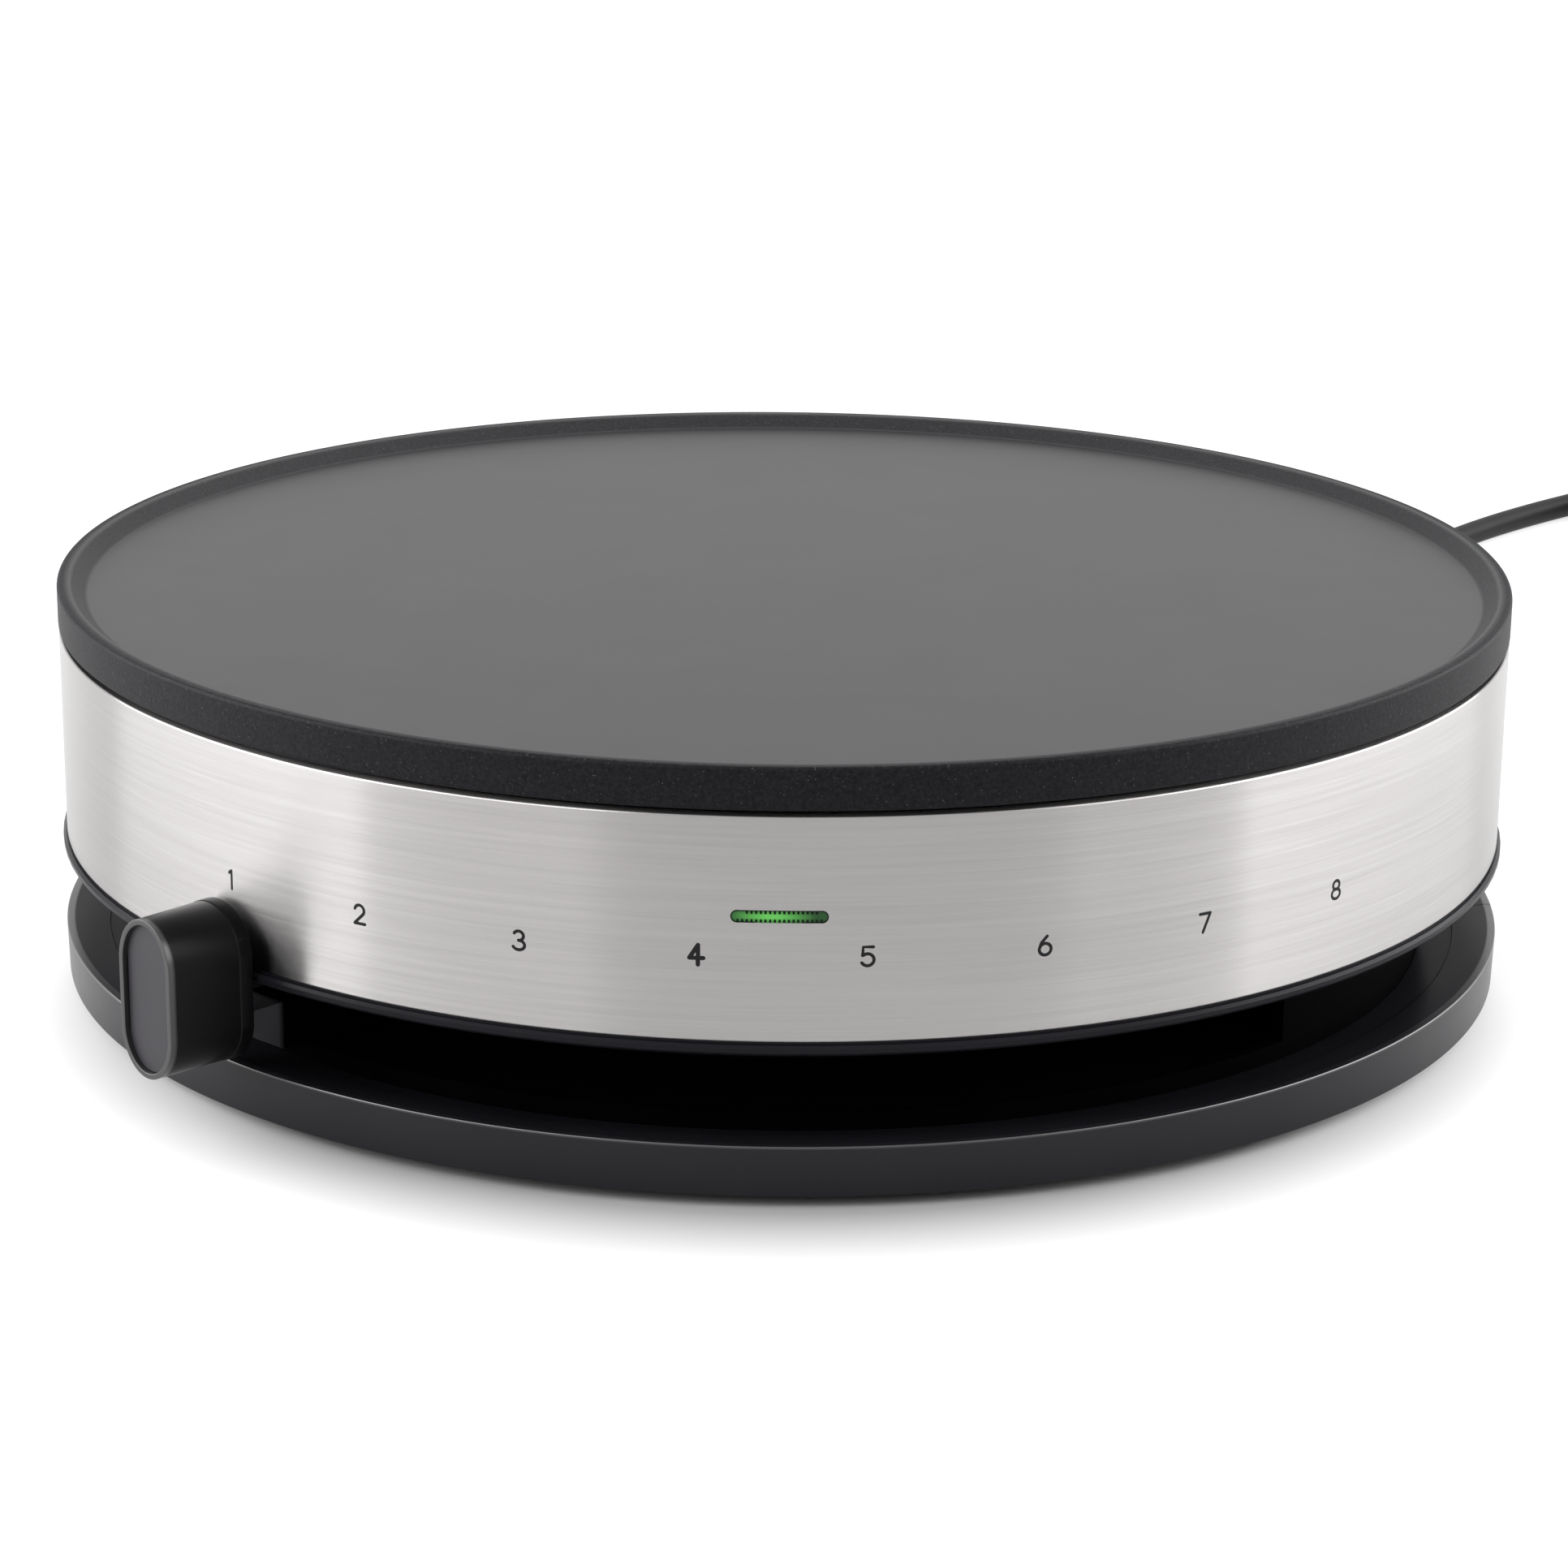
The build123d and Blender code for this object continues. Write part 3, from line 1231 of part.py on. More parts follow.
grip_start = plug_boot_length
face_start = grip_start + plug_grip_length
plug_end = face_start + plug_face_length
plug_axis = Axis(tail_route[-1], out(1, plug_angle))
with BuildPart() as plug_body:
    with BuildSketch(Plane(origin=tail_route[-1], x_dir=out(1, plug_angle), z_dir=out(1, plug_angle - 90))):
        with BuildLine():
            Polyline(
                (plug_end, 0),
                (0, 0),
                (0, plug_boot_start),
                (grip_start, plug_boot_end),
            )
            ThreePointArc(
                (grip_start, plug_boot_end),
                (grip_start + plug_grip_length / 2, plug_grip_middle),
                (face_start, plug_grip_end),
            )
            Polyline(
                (face_start, plug_grip_end),
                (face_start, plug_face_radius),
                (plug_end - plug_face_round, plug_face_radius),
                (plug_end, plug_face_radius - plug_face_round),
                (plug_end, 0),
            )
        make_face()
    revolve(axis=plug_axis)
    with BuildSketch(plug_plane(plug_end)):
        with Locations((plug_pin_spacing / 2, 0), (-plug_pin_spacing / 2, 0)):
            Circle(plug_pin_radius + thread_clearance)
    extrude(amount=-plug_pin_seat, mode=Mode.SUBTRACT)
keep(plug_body, "plug_body")

with BuildPart() as plug_pins:
    with BuildSketch(plug_plane(plug_end - plug_pin_seat)):
        with Locations((plug_pin_spacing / 2, 0), (-plug_pin_spacing / 2, 0)):
            Circle(plug_pin_radius)
    extrude(amount=plug_pin_seat + plug_pin_length)
    chamfer(plug_pins.faces().sort_by(Axis((0, 0, 0), out(1, plug_angle)))[-2:].edges(), plug_pin_edge)
keep(plug_pins, "plug_pins")
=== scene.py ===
"""Electric crepe maker: the finished look of the part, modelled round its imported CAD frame."""

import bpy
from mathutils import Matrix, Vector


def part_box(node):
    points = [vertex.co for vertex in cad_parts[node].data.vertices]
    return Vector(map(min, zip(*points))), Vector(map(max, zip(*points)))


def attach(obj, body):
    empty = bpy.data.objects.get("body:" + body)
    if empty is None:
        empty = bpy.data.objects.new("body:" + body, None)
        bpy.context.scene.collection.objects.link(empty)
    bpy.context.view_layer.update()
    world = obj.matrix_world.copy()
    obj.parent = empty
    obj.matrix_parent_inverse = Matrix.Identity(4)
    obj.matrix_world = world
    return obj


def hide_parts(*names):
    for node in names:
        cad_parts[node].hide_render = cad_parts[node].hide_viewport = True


bl_info = {
    "name": "Electric crepe maker",
    "version": (1, 0, 0),
    "blender": (4, 5, 0),
    "location": "View3D > Sidebar > Crepe maker",
    "description": "Models and finishes an electric crepe maker round its CAD frame",
    "category": "Add Mesh",
}

from math import ceil, cos, hypot, pi, radians, sin

import bpy
from mathutils import Matrix, Vector

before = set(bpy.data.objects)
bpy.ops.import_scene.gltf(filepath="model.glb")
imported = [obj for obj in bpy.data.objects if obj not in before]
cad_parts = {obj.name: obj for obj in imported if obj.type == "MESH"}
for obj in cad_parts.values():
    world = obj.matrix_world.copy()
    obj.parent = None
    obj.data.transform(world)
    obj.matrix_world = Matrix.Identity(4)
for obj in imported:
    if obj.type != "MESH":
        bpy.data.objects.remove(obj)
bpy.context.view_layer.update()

MM = 0.001
FRONT = radians(-90)
RING_SEGMENTS = 384
OBROUND_SEGMENTS = 66
SMOOTH_ANGLE = radians(32)
MERGE_DISTANCE = 0.002 * MM

# ---- places taken from the frame
PLATE_BOTTOM = 83.0 * MM
PLATE_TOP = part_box("cooking_plate")[1].z
PLATE_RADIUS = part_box("cooking_plate")[1].x
COOK_RADIUS = 158.4 * MM
COOK_HEIGHT = 89.1 * MM
STEEL_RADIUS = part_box("steel_band")[1].x
STEEL_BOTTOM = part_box("steel_band")[0].z
STEEL_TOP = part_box("steel_band")[1].z
WAIST_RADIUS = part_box("waist_ring")[1].x
KNOB_ANGLE = FRONT - radians(44)
CORD_ANGLE = radians(62)
CORD_HEIGHT = 22.9 * MM


# ---- settings
def length_setting(name, description, millimetres):
    """A length on the panel."""
    return bpy.props.FloatProperty(
        name=name, description=description, default=millimetres * MM, unit="LENGTH"
    )


def colour_setting(name, description, *default):
    """A colour on the panel."""
    return bpy.props.FloatVectorProperty(
        name=name, description=description, default=default, subtype="COLOR", size=3, min=0, max=1
    )


class CrepeMakerSizes(bpy.types.PropertyGroup):
    """Sizes that change the look and not the fit."""

    plate_edge: length_setting("Plate edge", "Rounding of the plate's lip", 1.1)
    steel_hem: length_setting("Steel hem", "Inward lip at the band's top", 3.4)
    numeral_height: length_setting("Numeral height", "Height of the dial's numbers", 4.6)
    numeral_width: length_setting("Numeral width", "Width of the dial's numbers", 3.55)
    numeral_stroke: length_setting("Numeral stroke", "Thickness of the numbers' lines", 0.68)
    numeral_level: length_setting("Numeral level", "Middle of the numbers above the table", 53.2)
    window_width: length_setting("Window width", "Length of the lamp window", 19.4)
    window_height: length_setting("Window height", "Height of the lamp window", 2.6)
    window_level: length_setting("Window level", "Middle of the lamp window above the table", 61.5)
    knob_rim: length_setting("Knob rim", "Width of the rim round the insert", 1.2)
    knob_recess: length_setting("Knob recess", "Depth of the knob's face inside its rim", 2.4)
    cord_diameter: length_setting("Cord diameter", "Diameter of the mains lead", 7.2)


class CrepeMakerFinish(bpy.types.PropertyGroup):
    """Colours and light that a user would change."""

    coating: colour_setting("Coating", "Cast plate's non-stick coating", 0.008, 0.008, 0.0095)
    steel: colour_setting("Steel", "Brushed steel of the band", 0.392, 0.381, 0.377)
    housing: colour_setting("Housing", "Moulded base rim and pan", 0.0088, 0.0083, 0.0108)
    knob: colour_setting("Knob", "Sides of the knob", 0.005, 0.005, 0.0055)
    insert: colour_setting("Insert", "Flat insert in the knob's face", 0.027, 0.025, 0.030)
    ink: colour_setting("Ink", "Printed numbers", 0.010, 0.010, 0.011)
    glow: colour_setting("Glow", "Lit part of the indicator", 0.13, 0.55, 0.10)
    cord: colour_setting("Cord", "Sheath of the mains lead", 0.009, 0.009, 0.010)
    floor: colour_setting("Floor", "Pale table", 0.45, 0.45, 0.45)
    world_light: bpy.props.FloatProperty(
        name="World light", description="Light from all round on rough surfaces", default=0.28, min=0
    )


# ---- modelling helpers
def object_mode():
    """Ends the editing."""
    bpy.ops.object.mode_set(mode="OBJECT")


def clear_selection():
    """Nothing selected and object mode, so that the next operator acts on its own piece alone."""
    if bpy.context.mode != "OBJECT":
        object_mode()
    bpy.ops.object.select_all(action="DESELECT")


def named(name):
    """The piece just added, with its name and its place moved into its mesh."""
    piece = bpy.context.object
    piece.name = name
    piece.data.name = name
    bpy.ops.object.transform_apply(location=True, rotation=True, scale=True)
    return piece


def primitive(kind, name, **settings):
    """A new mesh primitive of that kind."""
    clear_selection()
    getattr(bpy.ops.mesh, f"primitive_{kind}_add")(**settings)
    return named(name)


def only(piece):
    """Makes the piece the one selected and active object."""
    clear_selection()
    piece.select_set(True)
    bpy.context.view_layer.objects.active = piece


def edit(piece, action="DESELECT"):
    """Opens the piece for editing with nothing selected, or with everything."""
    only(piece)
    bpy.ops.object.mode_set(mode="EDIT")
    bpy.ops.mesh.select_all(action=action)


def extrude(x, y, z):
    """Extrudes what is selected along the vector."""
    bpy.ops.mesh.extrude_region_move(TRANSFORM_OT_translate={"value": (x, y, z)})


def face_outwards():
    """Turns every face of the edited piece outwards."""
    bpy.ops.mesh.select_all(action="SELECT")
    bpy.ops.mesh.normals_make_consistent(inside=False)


def pick(piece, test, kind="vertices"):
    """Selects the vertices or faces of the edited piece whose middle passes the test."""
    bpy.ops.mesh.select_all(action="DESELECT")
    bpy.ops.mesh.select_mode(type={"vertices": "VERT", "polygons": "FACE"}[kind])
    object_mode()
    for element in getattr(piece.data, kind):
        element.select = test(element.co if kind == "vertices" else element.center)
    bpy.ops.object.mode_set(mode="EDIT")


def finished(piece, angle=SMOOTH_ANGLE):
    """Leaves the piece merged, with faces outwards, and smooth except at its corners."""
    edit(piece, "SELECT")
    bpy.ops.mesh.remove_doubles(threshold=MERGE_DISTANCE)
    face_outwards()
    object_mode()
    bpy.ops.object.shade_smooth_by_angle(angle=angle)
    return piece


def apply_modifier(piece, kind, **settings):
    """Adds a modifier, sets it and applies it."""
    only(piece)
    modifier = piece.modifiers.new(kind.title(), kind)
    for name, value in settings.items():
        setattr(modifier, name, value)
    bpy.ops.object.modifier_apply(modifier=modifier.name)


def rounded(piece, width, segments=3, angle=radians(30)):
    """Rounds every corner sharper than the angle."""
    apply_modifier(piece, "BEVEL", width=width, segments=segments, limit_method="ANGLE", angle_limit=angle)


def placed(piece, matrix):
    """Moves the piece by a matrix and puts the place into its mesh."""
    only(piece)
    piece.matrix_world = matrix
    bpy.ops.object.transform_apply(location=True, rotation=True, scale=True)
    return piece


def in_metres(profile):
    """A profile given in mm."""
    return [(radius * MM, height * MM) for radius, height in profile]


def turned(name, profile, segments=RING_SEGMENTS, closed=True):
    """A turned piece: a circle extruded and scaled from point to point of a (radius, height) profile."""
    radius, height = profile[0]
    piece = primitive("circle", name, vertices=segments, radius=radius, location=(0, 0, height))
    edit(piece, "SELECT")
    if not closed:
        bpy.ops.mesh.edge_face_add()
    path = profile[1:] + profile[:1] if closed else profile[1:]
    for next_radius, next_height in path:
        scale = next_radius / radius
        extrude(0, 0, next_height - height)
        bpy.ops.transform.resize(value=(scale, scale, 1), center_override=(0, 0, next_height))
        radius, height = next_radius, next_height
    return finished(piece)


def frame_copy(node, name):
    """A copy of a CAD node's mesh, merged and smooth except at its corners."""
    clear_selection()
    piece = bpy.data.objects.new(name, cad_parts[node].data.copy())
    piece.data.name = name
    piece.data.materials.clear()
    bpy.context.collection.objects.link(piece)
    edit(piece, "SELECT")
    bpy.ops.mesh.remove_doubles(threshold=MERGE_DISTANCE)
    bpy.ops.mesh.customdata_custom_splitnormals_clear()
    object_mode()
    bpy.ops.object.shade_smooth_by_angle(angle=SMOOTH_ANGLE)
    return piece


def obround(name, half_width, half_height, place, turn):
    """A standing obround outline, as one face, made from a circle whose halves are moved apart."""
    piece = primitive("circle", name, vertices=OBROUND_SEGMENTS, radius=half_width, fill_type="NGON")
    edit(piece)
    for side in (1, -1):
        pick(piece, lambda spot: spot.y * side > 0)
        bpy.ops.transform.translate(value=(0, side * (half_height - half_width), 0))
    object_mode()
    stand = Matrix.Rotation(pi / 2, 4, "Z") @ Matrix.Rotation(pi / 2, 4, "X")
    return placed(piece, Matrix.Rotation(turn, 4, "Z") @ Matrix.Translation(place) @ stand)


def tube_curve(name, radius, resolution):
    """An empty curve that will be drawn as a tube with closed ends."""
    data = bpy.data.curves.new(name, "CURVE")
    data.dimensions = "3D"
    data.bevel_depth = radius
    data.bevel_resolution = resolution
    data.use_fill_caps = True
    tube = bpy.data.objects.new(name, data)
    bpy.context.collection.objects.link(tube)
    return tube


def joined(pieces, name):
    """The pieces made into one."""
    clear_selection()
    for piece in pieces:
        piece.select_set(True)
    bpy.context.view_layer.objects.active = pieces[0]
    bpy.ops.object.join()
    return named(name)


def cut(piece, cutter):
    """Takes the cutter's volume out of the piece, and then the cutter away."""
    apply_modifier(piece, "BOOLEAN", operation="DIFFERENCE", object=cutter, solver="EXACT")
    bpy.data.objects.remove(cutter)


def wrapped(piece, radius, angle=0.0):
    """Bends an upright flat piece round the band: its x goes round, and its y inwards, from the radius."""
    for vertex in piece.data.vertices:
        x, y, z = vertex.co
        vertex.co = around(radius - y, FRONT + angle + x / radius, z)


def add_piece(piece, body, surface, *nodes, slot):
    """Gives the piece its finish, its body and the CAD nodes that it stands for."""
    piece.data.materials.clear()
    piece.data.materials.append(finish(surface))
    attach(piece, body)
    if nodes:
        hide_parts(*nodes)


def around(radius, angle, height=0.0):
    """The point at that radius, angle and height about the vertical axis."""
    return Vector((radius * cos(angle), radius * sin(angle), height))


# ---- material helpers
class Surface:
    """A material of one Principled shader, with the nodes that feed it."""

    def __init__(self, name, colour, roughness, metallic=0.0):
        self.material = bpy.data.materials.new(name)
        self.material.use_nodes = True
        self.tree = self.material.node_tree
        self.shader = self.tree.nodes["Principled BSDF"]
        self.feed("Base Color", colour)
        self.feed("Roughness", roughness)
        self.feed("Metallic", metallic)

    def connect(self, source, socket):
        """Links an output to a socket, or sets the socket to a value."""
        if isinstance(source, bpy.types.NodeSocket):
            self.tree.links.new(source, socket)
        elif socket.type == "RGBA":
            socket.default_value = (*source[:3], 1)
        else:
            socket.default_value = source

    def feed(self, name, source):
        """Gives the shader's socket an output or a value."""
        self.connect(source, self.shader.inputs[name])

    def node(self, kind, output, sources, **settings):
        """An output of a new node with these settings, its sockets given outputs or values."""
        made = self.tree.nodes.new("ShaderNode" + kind)
        for name, value in settings.items():
            setattr(made, name, value)
        for name, source in sources.items():
            self.connect(source, made.inputs[name])
        return made.outputs[output]

    def place(self, scale=(1, 1, 1)):
        """Object coordinates, stretched by a Mapping node."""
        spot = self.node("TexCoord", "Object", {})
        return self.node("Mapping", "Vector", {"Vector": spot, "Scale": scale})

    def axis(self, name):
        """One of the object coordinates."""
        return self.node("SeparateXYZ", name, {"Vector": self.place()})

    def noise(self, place, scale, detail=2.0, roughness=0.5):
        """A noise pattern's value."""
        sources = {"Vector": place, "Scale": scale, "Detail": detail, "Roughness": roughness}
        return self.node("TexNoise", "Fac", sources)

    def bands(self, scale, distortion=0.0):
        """A pattern of slanting bands."""
        sources = {"Vector": self.place(), "Scale": scale, "Distortion": distortion}
        return self.node("TexWave", "Fac", sources, bands_direction="DIAGONAL")

    def ramp(self, value, low, high, start=0.0, end=1.0):
        """Fades from one colour to another as the value goes from start to end."""
        fade = self.tree.nodes.new("ShaderNodeValToRGB")
        for element, position, colour in zip(fade.color_ramp.elements, (start, end), (low, high)):
            element.position = position
            element.color = (*colour[:3], 1)
        self.connect(value, fade.inputs["Fac"])
        return fade.outputs["Color"]

    def spread(self, value, low, high, start=0.0, end=1.0):
        """Maps a value's range onto another range."""
        sources = {"Value": value, "From Min": start, "From Max": end, "To Min": low, "To Max": high}
        return self.node("MapRange", "Result", sources)

    def blend(self, factor, one, other):
        """Mixes two colours by a factor."""
        return self.node("Mix", 2, {0: factor, 6: one, 7: other}, data_type="RGBA")

    def math(self, operation, one, other=0.0):
        """A Math node of one or two values."""
        return self.node("Math", 0, {0: one, 1: other}, operation=operation)

    def plus(self, one, other):
        """The sum of two values."""
        return self.math("ADD", one, other)

    def times(self, one, other):
        """The product of two values."""
        return self.math("MULTIPLY", one, other)

    def bump(self, height, distance):
        """Bumps the surface by a height pattern."""
        self.feed("Normal", self.node("Bump", "Normal", {"Height": height, "Distance": distance}))

    def past(self, start, end):
        """Nought inside the first radius round the upright axis, one outside the second."""
        reach = self.node("VectorMath", "Value", {0: self.place((1, 1, 0))}, operation="LENGTH")
        return self.spread(reach, 0.0, 1.0, start, end)


def shades(colour, *shares):
    """The colour made darker or lighter by each share."""
    return [[channel * share for channel in colour] for share in shares]


def moulded(name, colour, roughness, grain, grain_depth, gloss=0.5):
    """Moulded plastic: eroded grain, its depth in mm, a little uneven in gloss and tone."""
    if isinstance(colour, str):
        colour = getattr(bpy.context.scene.crepe_finish, colour)
    skin = Surface(name, colour, roughness)
    skin.feed("Specular IOR Level", gloss)
    place = skin.place()
    patches = skin.noise(place, 35.0, 3.0)
    light = [channel * 1.2 + 0.0005 for channel in colour[:3]]
    skin.feed("Base Color", skin.ramp(patches, colour, light, 0.3, 0.8))
    skin.feed("Roughness", skin.spread(patches, roughness - 0.02, roughness + 0.03, 0.3, 0.7))
    skin.bump(skin.noise(place, grain), grain_depth * MM)
    return skin


def rolled_metal(name, colour, roughness, direction, tint):
    """Sheet or drawn metal with the faint lines of its rolling."""
    skin = Surface(name, colour, roughness, 1.0)
    lines = skin.noise(skin.place(direction), 1.0, 4.0)
    stains = skin.noise(skin.place(), 60.0, 3.0)
    skin.feed("Base Color", skin.ramp(stains, *shades(colour, tint, 1.0), 0.35, 0.7))
    skin.feed("Roughness", skin.spread(lines, roughness - 0.08, roughness + 0.1, 0.3, 0.7))
    skin.bump(lines, 0.01 * MM)
    return skin


# ---- finishes
# Radii or levels between which a zone of a skin fades in or out.
PLATE_LIP = (COOK_RADIUS - 0.3 * MM, COOK_RADIUS + 0.5 * MM)
WORN_START = (161.6 * MM, 162.1 * MM)
WORN_END = (162.4 * MM, 162.9 * MM)
SLOPE_END = (163.0 * MM, 163.6 * MM)
# Radii where the painted shade on the lever's arm, black inside the waist, ends.
PAINTED_SHADE_END = (155.3 * MM, 157.0 * MM)
RIM_LIP = (163.9 * MM, 164.4 * MM)
RIM_LIP_LEVEL = (12.7 * MM, 13.2 * MM)
COLLAR_END = (170.0 * MM, 170.3 * MM)
KNOB_FRONT = (185.6 * MM, 186.4 * MM)
LAMP_OFFSET = 1.6 * MM
GLOW_ALONG = (1.2 * MM, 8.6 * MM)
GLOW_ACROSS = (0.3 * MM, 1.0 * MM)


def coated_casting():
    """Non-stick coating of the plate: satin where the batter lies, granular and duller round the lip."""
    colour = tuple(bpy.context.scene.crepe_finish.coating)
    skin = Surface("plate_coating", colour, 0.44)
    place = skin.place()
    lip = skin.past(*PLATE_LIP)
    grains = skin.noise(place, 1300.0, 3.0, 0.7)
    tone = skin.ramp(grains, *shades(colour, 0.5, 1.9), 0.35, 0.68)
    dots = skin.node("TexVoronoi", "Distance", {"Vector": place, "Scale": 1100.0})
    specks = skin.ramp(dots, (1, 1, 1), (0, 0, 0), 0.05, 0.19)
    scatter = skin.ramp(skin.noise(place, 700.0, 1.0), (0, 0, 0), (1, 1, 1), 0.45, 0.60)
    shine = skin.times(skin.blend(scatter, (0, 0, 0), specks), lip)
    satin = skin.ramp(skin.noise(place, 26.0, 4.0), *shades(colour, 0.95, 1.1), 0.3, 0.7)
    body = skin.blend(lip, satin, tone)
    skin.feed("Base Color", skin.blend(shine, body, (0.10, 0.10, 0.11)))

    worn = skin.math("SUBTRACT", skin.past(*WORN_START), skin.past(*WORN_END))
    slope = skin.math("SUBTRACT", lip, skin.past(*SLOPE_END))
    level = skin.plus(skin.spread(lip, 0.38, 0.10), skin.times(slope, 0.15))
    skin.feed("Specular IOR Level", skin.plus(level, skin.times(worn, 0.35)))
    uneven = skin.spread(skin.noise(place, 60.0, 4.0), -0.006, 0.006, 0.3, 0.7)
    skin.feed("Roughness", skin.plus(skin.spread(lip, 0.36, 0.50), uneven))
    skin.bump(skin.times(grains, skin.spread(lip, 0.15, 1.0)), 0.06 * MM)
    return skin


def brushed_steel():
    """Stainless steel brushed round the band: long fine lines, light drawn out upright."""
    colour = tuple(bpy.context.scene.crepe_finish.steel)
    skin = Surface("brushed_steel", colour, 0.29, 1.0)
    skin.feed("Anisotropic", 1.0)
    skin.feed("Anisotropic Rotation", 0.25)
    streaks = skin.noise(skin.place((11, 11, 850)), 1.0, 4.0, 0.6)
    fine_lines = skin.noise(skin.place((30, 30, 4200)), 1.0, 3.0, 0.6)
    patches = skin.noise(skin.place((16, 16, 60)), 1.0)
    lines = skin.plus(skin.times(streaks, 0.55), skin.times(fine_lines, 0.45))
    tone = skin.plus(skin.times(lines, 0.8), skin.times(patches, 0.2))
    skin.feed("Base Color", skin.ramp(tone, *shades(colour, 0.945, 1.05), 0.38, 0.62))
    skin.feed("Roughness", skin.spread(lines, 0.245, 0.26, 0.38, 0.62))
    skin.feed("Tangent", skin.node("Tangent", "Tangent", {}, direction_type="RADIAL", axis="Z"))
    skin.bump(lines, 0.00005 * MM)
    return skin


def lever_plastic():
    """Grained dark grey plastic of the lever's arm, with painted shade: black and without gloss on the
    sleeve inside the waist.
    """
    skin = moulded("lever_plastic", (0.085, 0.082, 0.091), 0.42, 1300.0, 0.02)
    # Painted shade: the arm turns black and loses its gloss inside the waist.
    clear_of_painted_shade = skin.past(*PAINTED_SHADE_END)
    grained = skin.shader.inputs["Base Color"].links[0].from_socket
    skin.feed("Base Color", skin.blend(clear_of_painted_shade, (0.002, 0.002, 0.003), grained))
    skin.feed("Specular IOR Level", skin.times(clear_of_painted_shade, 0.5))
    return skin


def rim_plastic():
    """Housing plastic with a polished lip and a dull inner step."""
    skin = moulded("rim_plastic", "housing", 0.30, 1100.0, 0.008)
    out = skin.past(*RIM_LIP)
    lip = skin.times(out, skin.spread(skin.axis("Z"), 0.0, 1.0, *RIM_LIP_LEVEL))
    level = skin.plus(skin.spread(out, 0.05, 0.26), skin.times(lip, 0.9))
    skin.feed("Specular IOR Level", level)
    return skin


def knob_plastic():
    """Satin black knob with a dull collar and a polished front rim."""
    skin = moulded("knob_plastic", "knob", 0.31, 1600.0, 0.006)
    body = skin.spread(skin.past(*COLLAR_END), 0.05, 0.12)
    front = skin.times(skin.past(*KNOB_FRONT), 0.85)
    skin.feed("Specular IOR Level", skin.plus(body, front))
    return skin


def lit_lens():
    """Green lens with the lamp's light painted in: colour and glow brightest over the lamp and darker
    towards its ends.
    """
    glow = tuple(bpy.context.scene.crepe_finish.glow)
    middle = bpy.context.scene.crepe_sizes.window_level
    skin = Surface("lit_lens", glow, 0.22)
    skin.feed("Specular IOR Level", 0.3)
    reach = skin.math("ABSOLUTE", skin.plus(skin.axis("X"), LAMP_OFFSET))
    rise = skin.math("ABSOLUTE", skin.math("SUBTRACT", skin.axis("Z"), middle))
    along = skin.spread(reach, 1.0, 0.06, *GLOW_ALONG)
    painted_lamp_light = skin.times(along, skin.spread(rise, 1.0, 0.6, *GLOW_ACROSS))
    milky = skin.noise(skin.place((1, 1, 2)), 900.0)
    # Painted light: colour and glow fade from the lamp's place towards darker ends.
    body = skin.ramp(painted_lamp_light, (0.006, 0.035, 0.010), *shades(glow, 0.8))
    skin.feed("Base Color", skin.blend(skin.spread(milky, 0.0, 0.25), body, (0.02, 0.12, 0.03)))
    skin.feed("Emission Color", glow)
    skin.feed("Emission Strength", skin.times(painted_lamp_light, 0.38))
    return skin


def neon_glass():
    """Small glow lamp behind the lens."""
    skin = moulded("neon_glass", (0.25, 0.55, 0.25), 0.12, 900.0, 0.004)
    skin.feed("Emission Color", (0.1, 0.8, 0.12))
    skin.feed("Emission Strength", 0.6)
    return skin


def earth_insulation():
    """Green and yellow bands of the earth lead."""
    skin = moulded("earth_insulation", (0.10, 0.30, 0.04), 0.4, 1400.0, 0.01)
    bands = skin.bands(110.0)
    skin.feed("Base Color", skin.ramp(bands, (0.04, 0.22, 0.03), (0.65, 0.50, 0.02), 0.48, 0.52))
    return skin


def glass_braid():
    """White glass-fibre braid on the leads beside the plate."""
    skin = Surface("glass_braid", (0.72, 0.70, 0.64), 0.7)
    weave = skin.bands(420.0, 1.5)
    skin.feed("Base Color", skin.ramp(weave, (0.58, 0.56, 0.50), (0.78, 0.76, 0.70)))
    skin.bump(weave, 0.08 * MM)
    return skin


# Slot: name, colour or the setting that holds it, roughness, grain, grain depth and gloss.
MOULDED = {
    "housing": ("housing_plastic", "housing", 0.30, 1100.0, 0.008, 0.09),
    # matt_housing: the housing plastic made darker and duller, painted shade for the tray's shaded top.
    "matt_housing": ("matt_housing", (0.0022, 0.0021, 0.0026), 0.55, 1100.0, 0.012, 0.03),
    # waist: the housing plastic made far darker and duller, painted shade for the gap between pan and base.
    "waist": ("waist_housing", (0.0007, 0.0007, 0.0009), 0.60, 1100.0, 0.012, 0.01),
    "insert": ("insert_finish", "insert", 0.45, 2600.0, 0.01, 0.4),
    "ink": ("printed_ink", "ink", 0.5, 3000.0, 0.004, 0.15),
    # teeth: lens_shadow, a near-black green painted as shade, for the lens's teeth and the dark ring round
    # the window.
    "teeth": ("lens_shadow", (0.001, 0.007, 0.002), 0.4, 3000.0, 0.004, 0.1),
    "cord": ("cord_sheath", "cord", 0.50, 1400.0, 0.01, 0.16),
    "rubber": ("soft_rubber", (0.016, 0.016, 0.016), 0.72, 1100.0, 0.03),
    "insulator": ("fired_ceramic", (0.62, 0.58, 0.50), 0.6, 1200.0, 0.03),
    "brown_lead": ("brown_insulation", (0.10, 0.042, 0.018), 0.4, 1400.0, 0.01),
    "blue_lead": ("blue_insulation", (0.02, 0.08, 0.30), 0.4, 1400.0, 0.01),
}
